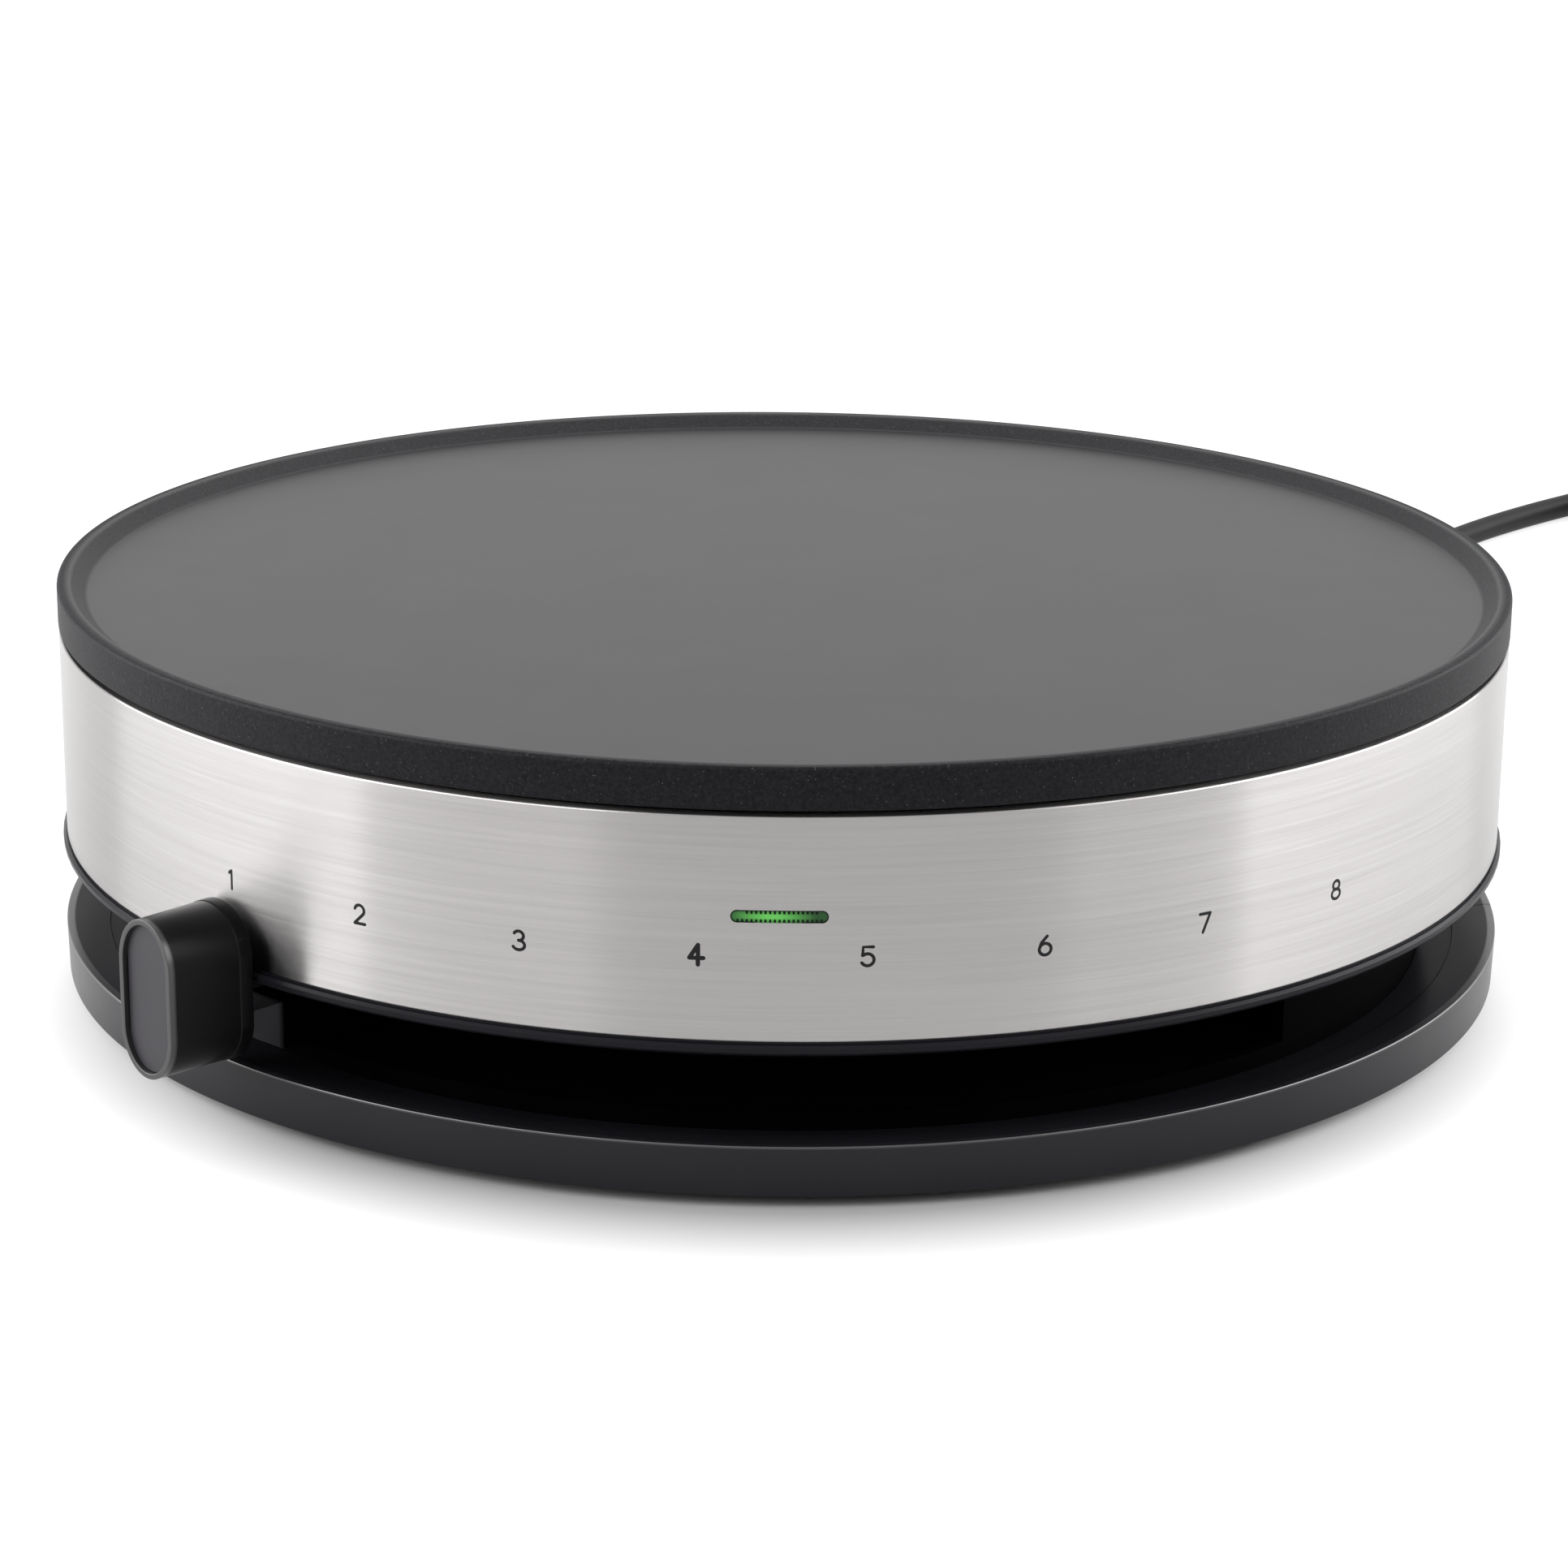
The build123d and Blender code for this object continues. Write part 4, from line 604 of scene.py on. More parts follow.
# Slot: name, colour, roughness, scale of the rolling lines along x, y and z, and tone of the stains.
ROLLED = {
    "pins": ("nickel_pins", (0.62, 0.60, 0.55), 0.2, (300, 300, 12), 0.9),
    "sheet_steel": ("rolled_sheet", (0.52, 0.53, 0.54), 0.38, (14, 500, 14), 0.72),
    "zinc": ("zinc_plating", (0.60, 0.61, 0.63), 0.28, (30, 30, 2400), 0.8),
    "sheath": ("element_sheath", (0.16, 0.14, 0.12), 0.5, (40, 40, 900), 0.5),
    "contact": ("contact_metal", (0.66, 0.46, 0.26), 0.3, (30, 600, 30), 0.8),
    "bimetal": ("bimetal_sheet", (0.48, 0.46, 0.42), 0.35, (600, 30, 30), 0.8),
}
OWN_FINISHES = {
    "plate_coating": coated_casting,
    "steel": brushed_steel,
    "lever_arm": lever_plastic,
    "rim": rim_plastic,
    "knob": knob_plastic,
    "lens": lit_lens,
    "lamp": neon_glass,
    "earth_lead": earth_insulation,
    "white_lead": glass_braid,
}
made_finishes = {}


def finish(slot):
    """The material of a slot, made once."""
    if slot not in made_finishes:
        if slot in MOULDED:
            skin = moulded(*MOULDED[slot])
        elif slot in ROLLED:
            skin = rolled_metal(*ROLLED[slot])
        else:
            skin = OWN_FINISHES[slot]()
        made_finishes[slot] = skin.material
    return made_finishes[slot]


# ---- stage
CAMERA_PLACE = (0.0022, -0.9941, 0.3388)
CAMERA_DOWN = radians(18.692)
CAMERA_ROLL = radians(0.632)
CAMERA_LENS = 102.22
CAMERA_SENSOR = 36
CAMERA_SHIFT = (-0.00421, 0.09486)
WHITE = (1, 1, 1, 1)
FLOOR_SIZE = 24
# The floor shines for the camera and in mirrors: close round the piece, far off, and less in front.
GLOW_MIDDLE = (0, -0.03, 0)
NEAR_GLOW = 0.60
NEAR_REACH = (0.1385, 0.167)
FAR_GLOW = 0.45
FAR_REACH = (0.4, 1.8)
FRONT_GLOW = 0.54
FRONT_REACH = (-0.44, -0.18)
# Name, place, aim, width, height and watts.
LAMPS = (
    ("left_lamp", (-1.28, -0.03, 0.50), (0, -0.02, 0.10), 1.45, 1.3, 27),
    ("right_lamp", (1.22, 0.18, 0.50), (0, 0, 0.10), 1.5, 1.3, 25.5),
    ("left_fill", (-0.90, -0.94, 0.75), (0, 0, 0.10), 0.9, 0.9, 7.5),
    ("right_fill", (1.15, -0.74, 0.75), (0, 0, 0.10), 0.8, 0.9, 5),
    ("top_lamp", (0.0, 0.75, 1.6), (0, 0.05, 0.05), 1.8, 0.9, 5),
)


def soft_lamp(name, place, aim, width, height, power):
    """A rectangular soft lamp that faces its aim."""
    data = bpy.data.lights.new(name, "AREA")
    data.shape = "RECTANGLE"
    data.size = width
    data.size_y = height
    data.energy = power
    lamp = bpy.data.objects.new(name, data)
    lamp.location = place
    lamp.rotation_euler = (Vector(aim) - Vector(place)).to_track_quat("-Z", "Y").to_euler()
    bpy.context.collection.objects.link(lamp)


def looked_at(tree, *kinds):
    """One where a ray of these kinds looks, and nought elsewhere."""
    rays = tree.nodes.new("ShaderNodeLightPath")
    seen = rays.outputs[f"Is {kinds[0]} Ray"]
    for kind in kinds[1:]:
        larger = tree.nodes.new("ShaderNodeMath")
        larger.operation = "MAXIMUM"
        tree.links.new(seen, larger.inputs[0])
        tree.links.new(rays.outputs[f"Is {kind} Ray"], larger.inputs[1])
        seen = larger.outputs[0]
    return seen


def pale_table(colour):
    """The floor's material, which shines for the camera and in mirrors."""
    skin = Surface("pale_table", colour, 0.9)
    skin.feed("Specular IOR Level", 0.0)
    skin.feed("Emission Color", WHITE)
    far = skin.node("VectorMath", "Value", {0: skin.place(), 1: GLOW_MIDDLE}, operation="DISTANCE")
    level = skin.plus(
        skin.spread(far, 0.0, NEAR_GLOW, *NEAR_REACH),
        skin.spread(far, 0.0, FAR_GLOW, *FAR_REACH),
    )
    behind = skin.spread(skin.axis("Y"), FRONT_GLOW, 1.0, *FRONT_REACH)
    direct = skin.times(level, looked_at(skin.tree, "Camera"))
    reflected = looked_at(skin.tree, "Glossy", "Transmission")
    mirrored = skin.times(skin.times(level, behind), reflected)
    skin.feed("Emission Strength", skin.math("MAXIMUM", direct, mirrored))
    return skin.material


class CREPE_OT_stage(bpy.types.Operator):
    """Pale floor, white surroundings, soft lamps and the camera"""

    bl_idname = "crepe.stage"
    bl_label = "Stage"

    def execute(self, context):
        settings = context.scene.crepe_finish
        context.scene.view_settings.view_transform = "Standard"

        data = bpy.data.cameras.new("camera")
        data.lens = CAMERA_LENS
        data.sensor_width = CAMERA_SENSOR
        data.shift_x, data.shift_y = CAMERA_SHIFT
        camera = bpy.data.objects.new("camera", data)
        camera.location = CAMERA_PLACE
        tilt = Matrix.Rotation(pi / 2 - CAMERA_DOWN, 3, "X") @ Matrix.Rotation(CAMERA_ROLL, 3, "Z")
        camera.rotation_euler = tilt.to_euler()
        context.collection.objects.link(camera)
        context.scene.camera = camera

        world = bpy.data.worlds.new("studio")
        world.use_nodes = True
        tree = world.node_tree
        background = tree.nodes["Background"]
        background.inputs["Color"].default_value = WHITE
        strength = tree.nodes.new("ShaderNodeMapRange")
        strength.inputs["To Min"].default_value = settings.world_light
        strength.inputs["To Max"].default_value = 1.0
        tree.links.new(looked_at(tree, "Camera", "Glossy", "Transmission"), strength.inputs["Value"])
        tree.links.new(strength.outputs["Result"], background.inputs["Strength"])
        context.scene.world = world

        floor = primitive("plane", "floor", size=FLOOR_SIZE)
        edit(floor, "SELECT")
        bpy.ops.mesh.subdivide(number_cuts=3)
        object_mode()
        floor.data.materials.append(pale_table(settings.floor))
        for lamp in LAMPS:
            soft_lamp(*lamp)
        return {"FINISHED"}


# ---- mains lead
# Places and lengths of the lead and its coil are in mm, turns of the coil in degrees.
CORD_EXIT = (85.9, 161.6, 22.9)
CORD_RUN = [
    (96.2, 181.0, 22.9), (108.0, 205.2, 12.4), (120.5, 229.8, 3.6), (146.5, 283.5, 3.6),
    (176.0, 338.0, 3.6), (204.5, 384.5, 3.6), (223.5, 410.5, 3.6), (243.5, 433.0, 3.6),
    (262.0, 451.0, 3.6), (275.5, 463.2, 4.0),
]
CORD_TAIL = [(350.1, 421.1, 11.2), (342.1, 407.2, 14.0), (334.1, 393.4, 18.6), (328.1, 383.0, 18.6)]
COIL_MIDDLE = (315.8, 440.9)
COIL_START = 130.0
COIL_WIDE = 43.2
COIL_NARROW = 36.0
COIL_UPPER = 39.6
COIL_LOW = 4.6
COIL_HIGH = 10.84
COIL_HUMP = 12.4
COIL_TURN = 880.0
COIL_STEP = 24.0
# Turns between which the coil narrows, widens, climbs and settles.
NARROWING = (300, 360)
WIDENING = (630, 670)
CLIMB = (596, 648)
SETTLING = (690, 730)


def eased(value, start, end, low, high):
    """Goes from low to high while the value goes from start to end."""
    share = min(1.0, max(0.0, (value - start) / (end - start)))
    return low + (high - low) * share


def coil_points():
    """Points of the coil: two turns on the table and one on top, each level where it crosses."""
    points = []
    steps = ceil(COIL_TURN / COIL_STEP)
    reach = 1 / cos(radians(COIL_TURN / steps))
    for step in range(steps + 1):
        turn = COIL_TURN * step / steps
        radius = eased(turn, *NARROWING, COIL_WIDE, COIL_NARROW)
        radius = eased(turn, *WIDENING, radius, COIL_UPPER)
        height = eased(turn, *CLIMB, COIL_LOW, COIL_HUMP)
        height = eased(turn, *SETTLING, height, COIL_HIGH)
        angle = radians(COIL_START - turn)
        out = radius * (1 + (reach - 1) / 4)
        points.append((COIL_MIDDLE[0] + out * cos(angle), COIL_MIDDLE[1] + out * sin(angle), height))
    return points


class CREPE_OT_cord(bpy.types.Operator):
    """Mains lead from the strain relief to the plug, its unseen length wound in a coil"""

    bl_idname = "crepe.cord"
    bl_label = "Mains lead"

    def execute(self, context):
        route = [CORD_EXIT] + CORD_RUN + coil_points() + CORD_TAIL
        lead = tube_curve("mains_lead", context.scene.crepe_sizes.cord_diameter / 2, 6)
        lead.data.resolution_u = 8
        spline = lead.data.splines.new("NURBS")
        spline.points.add(len(route) - 1)
        for point, spot in zip(spline.points, route):
            point.co = (*(axis * MM for axis in spot), 1)
        spline.order_u = 3
        spline.use_endpoint_u = True
        add_piece(lead, "base", "cord", "power_cord", "cord_coil", "plug_cord", slot="cord")
        return {"FINISHED"}


def ribs(starts, radius_at, *shape):
    """The grooves of a boot: each has this shape, moved to its start and to the boot's radius there."""
    return [(radius_at(start) + inset, start + reach) for start in starts for inset, reach in shape]


BOOT_SEGMENTS = 64
BOOT_LENGTH = 35.0
BOOT_WIDE = 5.6
BOOT_NARROW = 4.4
BOOT_BORE = 3.62
TAPER_START = 5.0
RIB_START = 6.0
RIB_COUNT = 7
RIB_PITCH = (BOOT_LENGTH - 9.0) / RIB_COUNT
GROOVE_WIDTH = RIB_PITCH * 0.38
BOOT_HEAD = [
    (0.3, -3.0), (6.2, -3.0), (6.2, 0.0), (8.0, 0.0), (8.0, 2.0), (5.7, 3.0), (BOOT_WIDE, TAPER_START),
]
BOOT_END = [
    (BOOT_NARROW, BOOT_LENGTH - 1.0), (BOOT_NARROW, BOOT_LENGTH), (BOOT_BORE, BOOT_LENGTH),
    (BOOT_BORE, BOOT_LENGTH - 0.5), (0.3, BOOT_LENGTH - 0.5),
]


class CREPE_OT_strain_relief(bpy.types.Operator):
    """Ribbed tapered boot where the lead leaves the waist"""

    bl_idname = "crepe.strain_relief"
    bl_label = "Strain relief"

    def execute(self, context):
        grooves = ribs(
            [RIB_START + rib * RIB_PITCH for rib in range(RIB_COUNT)],
            lambda start: eased(start, TAPER_START, BOOT_LENGTH, BOOT_WIDE, BOOT_NARROW),
            (0, 0), (-0.6, 0.3), (-0.65, GROOVE_WIDTH), (-0.05, GROOVE_WIDTH + 0.3),
        )
        profile = in_metres(BOOT_HEAD + grooves + BOOT_END)
        boot = turned("strain_relief_boot", profile, BOOT_SEGMENTS, False)
        rounded(boot, 0.2 * MM, 2)
        aim = Matrix.Rotation(CORD_ANGLE, 4, "Z") @ Matrix.Rotation(pi / 2, 4, "Y")
        placed(boot, Matrix.Translation(around(WAIST_RADIUS, CORD_ANGLE, CORD_HEIGHT)) @ aim)
        finished(boot)
        add_piece(boot, "base", "rubber", "strain_relief", slot="rubber")
        return {"FINISHED"}


PLUG_ANGLE = radians(240)
PLUG_SEGMENTS = 96
PLUG_RIB_STARTS = (2.0, 5.9, 9.8, 13.7, 17.6)
PLUG_NECK = [(0.3, 0.0), (4.4, 0.0), (4.6, 0.6)]
PLUG_BODY = [
    (7.0, 22.0), (8.2, 22.6), (10.6, 25.5), (12.4, 29.5), (13.0, 33.0), (13.4, 37.0), (14.6, 40.6),
    (16.8, 43.2), (18.2, 44.4), (18.6, 45.6), (18.6, 49.0), (18.2, 49.3), (18.2, 50.3), (18.6, 50.6),
    (18.6, 58.4), (17.4, 60.0), (15.0, 60.0), (14.6, 59.5), (0.3, 59.5),
]
PIN_SEGMENTS = 32
PIN_OFFSET = 9.5 * MM
PIN_TIP = 79.0
PIN = [(2.4, 56.0), (2.4, 66.0), (2.3, 66.2), (2.3, 75.0), (2.36, 75.2), (2.36, 77.6), (1.4, PIN_TIP)]


class CREPE_OT_plug(bpy.types.Operator):
    """Moulded two-pin plug with a ribbed boot"""

    bl_idname = "crepe.plug"
    bl_label = "Plug"

    def execute(self, context):
        place = Matrix.Translation(Vector(CORD_TAIL[-1]) * MM)
        aim = place @ Matrix.Rotation(PLUG_ANGLE, 4, "Z") @ Matrix.Rotation(pi / 2, 4, "Y")
        grooves = ribs(
            PLUG_RIB_STARTS, lambda start: eased(start, 0, PLUG_BODY[0][1], 4.6, PLUG_BODY[0][0]),
            (0, 0), (-0.7, 0.3), (-0.6, 1.4), (0.15, 1.7),
        )
        body = turned("plug_moulding", in_metres(PLUG_NECK + grooves + PLUG_BODY), PLUG_SEGMENTS, False)
        placed(body, aim)
        finished(body, radians(40))
        add_piece(body, "base", "rubber", "plug_body", slot="rubber")

        pins = []
        for side in (-1, 1):
            pin = turned("plug_pin", in_metres(PIN), PIN_SEGMENTS, False)
            edit(pin)
            pick(pin, lambda spot: spot.z > (PIN_TIP - 0.1) * MM)
            bpy.ops.mesh.edge_face_add()
            object_mode()
            placed(pin, aim @ Matrix.Translation((0, side * PIN_OFFSET, 0)))
            pins.append(finished(pin))
        add_piece(joined(pins, "plug_contacts"), "base", "pins", "plug_pins", slot="pins")
        return {"FINISHED"}


TIE_SEGMENTS = 48
TIE_ANGLE = radians(50)
TIE_INNER = 31.9
TIE_OUTER = 47.3
TIE_WIDTH = 9.0
TIE_WALL = 0.9
TIE_SQUARENESS = 3.2
TIE_TOP_SHARE = 0.82


class CREPE_OT_coil_tie(bpy.types.Operator):
    """Soft strap that holds the coil"""

    bl_idname = "crepe.coil_tie"
    bl_label = "Coil tie"

    def execute(self, context):
        low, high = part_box("coil_tie")
        strap = primitive("circle", "coil_strap", vertices=TIE_SEGMENTS, radius=1)
        half_width = (TIE_OUTER - TIE_INNER) / 2
        half_height = (low.z + high.z) / 2 / MM - TIE_WALL - 0.05
        power = TIE_SQUARENESS
        for vertex in strap.data.vertices:
            x, y = vertex.co.x, vertex.co.y
            bulge = 1 / max(abs(x) ** power + abs(y) ** power, 1e-9) ** (1 / power)
            top = TIE_TOP_SHARE if y > 0 else 1.0
            vertex.co.x = x * bulge * half_width * (1 - (1 - top) * max(0.0, y * bulge))
            vertex.co.y = y * bulge * half_height
        edit(strap, "SELECT")
        bpy.ops.transform.translate(value=(0, 0, -TIE_WIDTH / 2))
        extrude(0, 0, TIE_WIDTH)
        face_outwards()
        object_mode()
        apply_modifier(strap, "SOLIDIFY", thickness=TIE_WALL, offset=1.0)
        rounded(strap, 0.25, 2)
        middle = Matrix.Translation(Vector((*COIL_MIDDLE, 0)) * MM)
        shift = Matrix.Translation(((TIE_INNER + TIE_OUTER) / 2 * MM, 0, (low.z + high.z) / 2))
        stand = Matrix.Rotation(pi / 2, 4, "X")
        size = Matrix.Diagonal((MM, MM, MM, 1))
        placed(strap, middle @ Matrix.Rotation(TIE_ANGLE, 4, "Z") @ shift @ stand @ size)
        finished(strap)
        add_piece(strap, "base", "rubber", "coil_tie", slot="rubber")
        return {"FINISHED"}


class CREPE_OT_declare_cord(bpy.types.Operator):
    """An empty step that does nothing."""

    bl_idname = "crepe.declare_cord"
    bl_label = "Declare the lead"

    def execute(self, context):
        return {"FINISHED"}


# ---- shells
LIP_WIDTH = 2.8 * MM
BAND_INNER = 158.6 * MM
PLATE_UNDER = 84.6 * MM
PAD_UNDER = PLATE_UNDER - 2 * MM
STEEL_WALL = 0.9 * MM
CUTTER_REACH = 6 * MM


class CREPE_OT_plate(bpy.types.Operator):
    """Cast cooking plate with its raised lip and coated surface"""

    bl_idname = "crepe.plate"
    bl_label = "Cooking plate"

    def execute(self, context):
        edge = context.scene.crepe_sizes.plate_edge
        profile = [
            (120 * MM, COOK_HEIGHT), (COOK_RADIUS, COOK_HEIGHT),
            (PLATE_RADIUS - LIP_WIDTH, PLATE_TOP), (PLATE_RADIUS, PLATE_TOP),
            (PLATE_RADIUS, PLATE_BOTTOM), (BAND_INNER, PLATE_BOTTOM), (BAND_INNER, PLATE_UNDER),
            (120 * MM, PLATE_UNDER), (118 * MM, PAD_UNDER), (104 * MM, PAD_UNDER),
            (102 * MM, PLATE_UNDER), (31 * MM, PLATE_UNDER), (31 * MM, PAD_UNDER),
            (0.01 * MM, PAD_UNDER),
        ]
        plate = turned("griddle_plate", profile, closed=False)
        rounded(plate, edge, 5, radians(60))
        rounded(plate, edge / 3, 3, radians(30))
        finished(plate)
        add_piece(plate, "base", "plate_coating", "cooking_plate", slot="plate_coating")
        return {"FINISHED"}


class CREPE_OT_steel_band(bpy.types.Operator):
    """Brushed steel band with a hemmed top and the lamp's window"""

    bl_idname = "crepe.steel_band"
    bl_label = "Steel band"

    def execute(self, context):
        sizes = context.scene.crepe_sizes
        inside = STEEL_RADIUS - STEEL_WALL
        hem = STEEL_RADIUS - sizes.steel_hem
        profile = [
            (inside, STEEL_BOTTOM), (STEEL_RADIUS, STEEL_BOTTOM), (STEEL_RADIUS, STEEL_TOP),
            (hem, STEEL_TOP), (hem, STEEL_TOP - STEEL_WALL), (inside, STEEL_TOP - STEEL_WALL),
        ]
        band = turned("steel_shell", profile)
        rounded(band, 0.35 * MM, 3)
        cutter = obround(
            "window_cutter",
            sizes.window_height / 2,
            sizes.window_width / 2,
            (STEEL_RADIUS - CUTTER_REACH, 0, sizes.window_level),
            FRONT,
        )
        edit(cutter, "SELECT")
        bpy.ops.transform.rotate(
            value=pi / 2, orient_axis="Y", center_override=(0, 0, sizes.window_level)
        )
        extrude(0, -2 * CUTTER_REACH, 0)
        face_outwards()
        object_mode()
        cut(band, cutter)
        finished(band)
        add_piece(band, "base", "steel", "steel_band", slot="steel")
        return {"FINISHED"}


SEAM_ANGLE = radians(-2)
SEAM_PLACE = (166 * MM, 0, 13.2 * MM)
SEAM_SIZE = (12 * MM, 0.3 * MM, 1.2 * MM, 1)
RIM_PROFILE = [
    (163.4, 2.45), (165.5, 2.45), (165.8, 13.36), (164.1, 13.36), (156.0, 11.86),
    (156.0, 11.36), (148.2, 10.06), (148.2, 9.2), (155.0, 9.9), (163.4, 11.4),
]


class CREPE_OT_base_rim(bpy.types.Operator):
    """Smooth outer wall, lip and stepped top of the base, laid over its tray"""

    bl_idname = "crepe.base_rim"
    bl_label = "Base rim"

    def execute(self, context):
        rim = turned("rim_moulding", in_metres(RIM_PROFILE))
        rounded(rim, 0.7 * MM, 4, radians(60))
        for side in (0, pi):
            seam = primitive("cube", "seam", size=1)
            turn = Matrix.Rotation(SEAM_ANGLE + side, 4, "Z") @ Matrix.Translation(SEAM_PLACE)
            placed(seam, turn @ Matrix.Diagonal(SEAM_SIZE))
            cut(rim, seam)
        finished(rim)
        add_piece(rim, "base", "rim", slot="housing")
        return {"FINISHED"}


TRAY_WALL = 163 * MM
TRAY_WALL_INSET = 0.4 * MM
TRAY_TOP = 9.6 * MM
TRAY_TOP_START = 148.3 * MM
TRAY_TOP_INSET = 0.25 * MM


def under_the_rim(tray):
    """Draws the tray's outer wall and top in a little, so that they lie under the rim's surface."""
    for vertex in tray.data.vertices:
        radius = hypot(vertex.co.x, vertex.co.y)
        if radius > TRAY_WALL:
            share = 1 - TRAY_WALL_INSET / radius
            vertex.co.x *= share
            vertex.co.y *= share
        if radius > TRAY_TOP_START and vertex.co.z > TRAY_TOP:
            vertex.co.z -= TRAY_TOP_INSET


class CREPE_OT_housing(bpy.types.Operator):
    """Moulded pan, waist and base"""

    bl_idname = "crepe.housing"
    bl_label = "Housing"

    def execute(self, context):
        # The waist and the tray take darkened, duller copies of the housing plastic: painted shade.
        for node, name, surface in (
            ("housing_pan", "pan_moulding", "housing"),
            ("waist_ring", "waist_moulding", "waist"),
            ("base_tray", "base_moulding", "matt_housing"),
        ):
            piece = frame_copy(node, name)
            if node == "base_tray":
                under_the_rim(piece)
            add_piece(piece, "base", surface, node, slot="housing")
        return {"FINISHED"}


# ---- dial
def arc(middle_x, middle_y, reach_x, reach_y, start, end, count=14):
    """Points along an arc of an ellipse, angles in degrees."""
    return [
        (middle_x + reach_x * cos(radians(start + (end - start) * step / count)),
         middle_y + reach_y * sin(radians(start + (end - start) * step / count)))
        for step in range(count + 1)
    ]


NUMERALS = {
    "1": [[(0.30, 0.86), (0.56, 1.0)], [(0.56, 1.0), (0.56, 0.0)]],
    "2": [arc(0.5, 0.71, 0.40, 0.29, 165, -38) + [(0.08, 0.0)], [(0.08, 0.0), (0.96, 0.0)]],
    "3": [arc(0.47, 0.75, 0.37, 0.25, 150, -90), arc(0.47, 0.255, 0.45, 0.255, 90, -155)],
    "4": [[(0.62, 0.0), (0.62, 1.0)], [(0.62, 1.0), (0.04, 0.34)], [(0.04, 0.34), (0.98, 0.34)]],
    "5": [[(0.86, 1.0), (0.16, 1.0), (0.13, 0.55)], [(0.13, 0.55)] + arc(0.47, 0.32, 0.45, 0.32, 130, -150)],
    "6": [arc(0.5, 0.31, 0.44, 0.31, 0, 360, 24), [(0.07, 0.36), (0.20, 0.66), (0.62, 1.0)]],
    "7": [[(0.06, 1.0), (0.94, 1.0)], [(0.94, 1.0), (0.36, 0.0)]],
    "8": [arc(0.5, 0.76, 0.35, 0.24, 0, 360, 24), arc(0.5, 0.27, 0.45, 0.27, 0, 360, 24)],
}
NUMERAL_ANGLES = (-43.5, -31.0, -18.3, -5.7, 6.1, 18.7, 31.4, 44.2)
BOLD_NUMERAL = "4"
BOLD_STROKE = 1.32
BOLD_SCALE = 1.08
INK_RELIEF = 0.03 * MM


def stroke(data, points, width, height, thickness):
    """A round-ended line through the points, which are shares of the numeral's width and height."""
    spots = [Vector(((x - 0.5) * width, 0, (y - 0.5) * height)) for x, y in points]
    closed = (spots[0] - spots[-1]).length < thickness / 4
    line = [(spot, 1.0) for spot in spots]
    if not closed:
        first = (spots[0] - spots[1]).normalized() * thickness / 2
        last = (spots[-1] - spots[-2]).normalized() * thickness / 2
        turns = [radians(angle) for angle in (25, 50, 70, 85)]
        start = [(spots[0] + first * sin(turn), cos(turn)) for turn in reversed(turns)]
        end = [(spots[-1] + last * sin(turn), cos(turn)) for turn in turns]
        line = start + line + end
    else:
        line = line[:-1]
    spline = data.splines.new("POLY")
    spline.points.add(len(line) - 1)
    for point, (spot, radius) in zip(spline.points, line):
        point.co = (*spot, 1)
        point.radius = radius
    spline.use_cyclic_u = closed


class CREPE_OT_numerals(bpy.types.Operator):
    """Printed numbers 1 to 8 of the temperature dial"""

    bl_idname = "crepe.numerals"
    bl_label = "Dial numbers"

    def execute(self, context):
        sizes = context.scene.crepe_sizes
        for (sign, strokes), angle in zip(NUMERALS.items(), NUMERAL_ANGLES):
            bold = sign == BOLD_NUMERAL
            thickness = sizes.numeral_stroke * (BOLD_STROKE if bold else 1.0)
            scale = BOLD_SCALE if bold else 1.0
            width = sizes.numeral_width * scale - thickness
            height = sizes.numeral_height * scale - thickness
            number = tube_curve("number_" + sign, thickness / 2, 2)
            for points in strokes:
                stroke(number.data, points, width, height, thickness)
            only(number)
            bpy.ops.object.convert(target="MESH")
            number = context.object
            for vertex in number.data.vertices:
                vertex.co.y *= INK_RELIEF / (thickness / 2)
                vertex.co.z += sizes.numeral_level
            wrapped(number, STEEL_RADIUS, radians(angle))
            finished(number, radians(80))
            add_piece(number, "base", "ink", slot="knob")
        return {"FINISHED"}


# Width of the dark ring round the window: painted shade where the window's edge shades the lens.
SHADE_RING_WIDTH = 0.22 * MM
TOOTH_PITCH = 0.92 * MM
TOOTH_SIZE = (0.52 * MM, 0.10 * MM, 0.62 * MM, 1)
TOOTH_INSET = 0.44 * MM


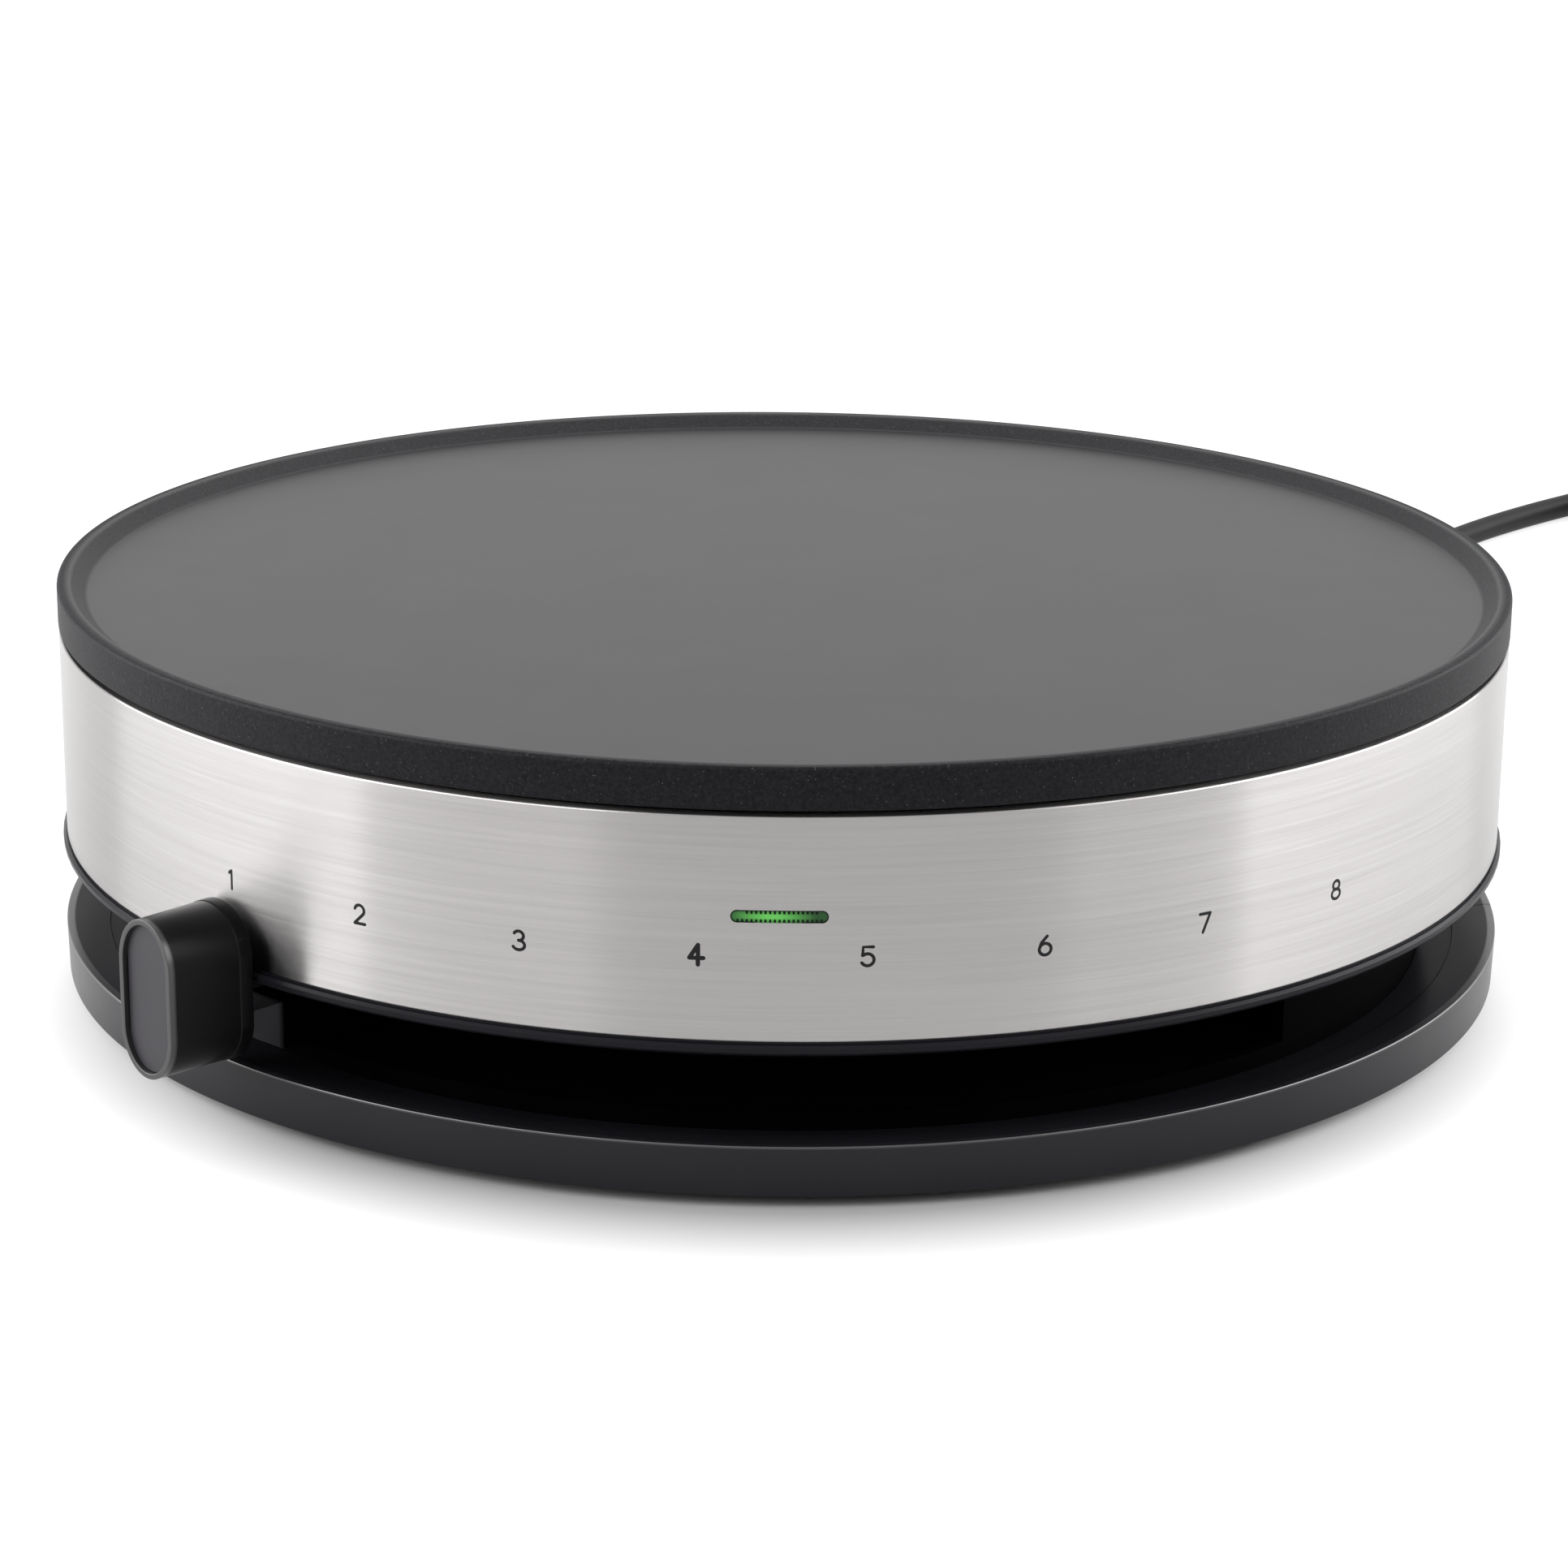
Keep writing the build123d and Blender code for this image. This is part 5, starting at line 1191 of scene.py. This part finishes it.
class CREPE_OT_indicator(bpy.types.Operator):
    """Green lens in the band's window, with its serrated edges and a dark ring of painted shade round the
    window
    """

    bl_idname = "crepe.indicator"
    bl_label = "Indicator"

    def execute(self, context):
        sizes = context.scene.crepe_sizes
        lens = frame_copy("indicator_lens", "signal_lens")
        add_piece(lens, "base", "lens", "indicator_lens", slot="lens")

        half_width, half_height = sizes.window_width / 2, sizes.window_height / 2
        # A thin dark ring round the window's edge, standing in as painted shade round the lens.
        shade_ring = obround("window_gasket", half_height, half_width, (0, 0, 0), FRONT)
        edit(shade_ring, "SELECT")
        bpy.ops.transform.rotate(value=pi / 2, orient_axis="Y", center_override=(0, 0, 0))
        bpy.ops.mesh.inset(thickness=SHADE_RING_WIDTH)
        bpy.ops.mesh.delete(type="FACE")
        bpy.ops.mesh.select_all(action="SELECT")
        bpy.ops.transform.translate(value=(0, 0, sizes.window_level))
        extrude(0, 0.4 * MM, 0)
        object_mode()
        wrapped(shade_ring, STEEL_RADIUS + 0.04 * MM)
        finished(shade_ring)
        add_piece(shade_ring, "base", "teeth", slot="lens")

        teeth = []
        for side, first, last in ((1, -7, 8), (-1, -9, 9)):
            for step in range(first, last + 1):
                tooth = primitive("cube", "tooth", size=1)
                edit(tooth)
                pick(tooth, lambda spot: spot.z * side < 0)
                bpy.ops.transform.resize(value=(0.7, 1, 1))
                object_mode()
                level = sizes.window_level + side * (half_height - TOOTH_INSET)
                place = Matrix.Translation((step * TOOTH_PITCH, 0, level))
                teeth.append(placed(tooth, place @ Matrix.Diagonal(TOOTH_SIZE)))
        serration = joined(teeth, "lens_serration")
        wrapped(serration, STEEL_RADIUS + 0.01 * MM)
        finished(serration)
        add_piece(serration, "base", "teeth", slot="lens")
        return {"FINISHED"}


# ---- lever
KNOB_LEVEL = 31.9 * MM
KNOB_HALF_HEIGHT = 17.4 * MM
KNOB_BACK = 167.0 * MM
KNOB_FACE = 187.1 * MM
BACK_HALF_WIDTH = 10.3 * MM
FACE_HALF_WIDTH = 8.3 * MM
KNOB_COLLAR = 2.9 * MM
KNOB_GROOVE = 0.2 * MM
GROOVE_SHARE = 0.985
INSERT_GAP = 0.1 * MM
INSERT_DEPTH = 1.2 * MM


class CREPE_OT_lever(bpy.types.Operator):
    """Temperature lever's arm, knob and grey insert"""

    bl_idname = "crepe.lever"
    bl_label = "Temperature lever"

    def execute(self, context):
        sizes = context.scene.crepe_sizes
        arm = frame_copy("lever_arm", "lever_moulding")
        add_piece(arm, "lever", "lever_arm", "lever_arm", slot="housing")

        knob = obround("knob_moulding", BACK_HALF_WIDTH, KNOB_HALF_HEIGHT, (0, 0, 0), 0)
        edit(knob, "SELECT")
        depth = KNOB_FACE - KNOB_BACK
        narrow = FACE_HALF_WIDTH / BACK_HALF_WIDTH
        taper = (1.0 - narrow) * KNOB_COLLAR / depth
        for reach, width in (
            (KNOB_COLLAR, 1.0 - taper),
            (KNOB_GROOVE, GROOVE_SHARE),
            (KNOB_GROOVE, 1.0),
            (depth - KNOB_COLLAR - 2 * KNOB_GROOVE, narrow + taper),
        ):
            extrude(reach, 0, 0)
            tall = 1.0 - (1.0 - width) * 0.6 if reach == KNOB_GROOVE else 1.0
            bpy.ops.transform.resize(value=(1, width, tall))
        face_outwards()
        pick(knob, lambda spot: spot.x > depth - 0.01 * MM, "polygons")
        bpy.ops.mesh.inset(thickness=sizes.knob_rim, use_even_offset=True)
        extrude(-sizes.knob_recess, 0, 0)
        object_mode()
        rounded(knob, 0.6 * MM, 4, radians(35))
        turn = Matrix.Rotation(KNOB_ANGLE, 4, "Z")
        placed(knob, turn @ Matrix.Translation((KNOB_BACK, 0, KNOB_LEVEL)))
        finished(knob)
        add_piece(knob, "lever", "knob", "lever_knob", slot="knob")

        gap = sizes.knob_rim + INSERT_GAP
        insert = obround("knob_face", FACE_HALF_WIDTH - gap, KNOB_HALF_HEIGHT - gap, (0, 0, 0), 0)
        edit(insert, "SELECT")
        extrude(INSERT_DEPTH, 0, 0)
        object_mode()
        finished(insert)
        rounded(insert, 0.3 * MM, 3)
        placed(insert, turn @ Matrix.Translation((KNOB_FACE - sizes.knob_recess, 0, KNOB_LEVEL)))
        finished(insert)
        add_piece(insert, "lever", "insert", "knob_insert", slot="insert")
        return {"FINISHED"}


# ---- CAD nodes that stay
NODE_SLOTS = {
    "bimetal": ("bimetal_strip",),
    "zinc": (
        "bracket_screw", "clamp_screws", "clip_screw", "earth_tab", "element_pins", "lever_washer",
        "plate_screws", "plate_spacers", "terminal_screws", "thermostat_rivet", "thermostat_spindle",
        "tray_screws",
    ),
    "contact": ("contact_rivets", "contact_springs", "thermal_fuse"),
    "housing": ("cord_clamp", "indicator_holder"),
    "cord": ("cord_entry",),
    "earth_lead": ("earth_lead",),
    "insulator": ("element_seals", "terminal_block", "thermostat_insulators"),
    "sheet_steel": ("fuse_clip", "heat_shield", "thermostat_bracket"),
    "white_lead": ("fuse_leads", "fuse_sleeve"),
    "sheath": ("heating_element",),
    "lamp": ("indicator_lamp",),
    "rubber": ("lead_grommet", "rubber_feet"),
    "brown_lead": ("line_lead", "mains_cores"),
    "blue_lead": ("neutral_lead",),
}


class CREPE_OT_fittings(bpy.types.Operator):
    """Finishes of the screws, leads, thermostat and other fittings"""

    bl_idname = "crepe.fittings"
    bl_label = "Fittings"

    def execute(self, context):
        for slot, nodes in NODE_SLOTS.items():
            for node in nodes:
                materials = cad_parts[node].data.materials
                materials.clear()
                materials.append(finish(slot))
        return {"FINISHED"}


# ---- panel
STEPS = (
    CREPE_OT_stage,
    CREPE_OT_cord,
    CREPE_OT_strain_relief,
    CREPE_OT_plug,
    CREPE_OT_coil_tie,
    CREPE_OT_declare_cord,
    CREPE_OT_plate,
    CREPE_OT_steel_band,
    CREPE_OT_housing,
    CREPE_OT_base_rim,
    CREPE_OT_numerals,
    CREPE_OT_indicator,
    CREPE_OT_lever,
    CREPE_OT_fittings,
)


class CREPE_PT_panel(bpy.types.Panel):
    """Lists the crepe maker's settings and pieces"""

    bl_label = "Crepe maker"
    bl_idname = "CREPE_PT_panel"
    bl_space_type = "VIEW_3D"
    bl_region_type = "UI"
    bl_category = "Crepe maker"

    def draw(self, context):
        for group in (context.scene.crepe_sizes, context.scene.crepe_finish):
            box = self.layout.box()
            for name in group.__annotations__:
                box.prop(group, name)
        for step in STEPS:
            self.layout.operator(step.bl_idname)


CLASSES = (CrepeMakerSizes, CrepeMakerFinish, *STEPS, CREPE_PT_panel)


def register():
    """Registers the classes and their settings."""
    for entry in CLASSES:
        bpy.utils.register_class(entry)
    bpy.types.Scene.crepe_sizes = bpy.props.PointerProperty(type=CrepeMakerSizes)
    bpy.types.Scene.crepe_finish = bpy.props.PointerProperty(type=CrepeMakerFinish)


def unregister():
    """Removes the settings and the classes."""
    del bpy.types.Scene.crepe_finish
    del bpy.types.Scene.crepe_sizes
    for entry in reversed(CLASSES):
        bpy.utils.unregister_class(entry)


def main():
    """Makes every piece in order."""
    register()
    for step in STEPS:
        getattr(bpy.ops.crepe, step.bl_idname.split(".")[1])()


if __name__ == "__main__":
    main()
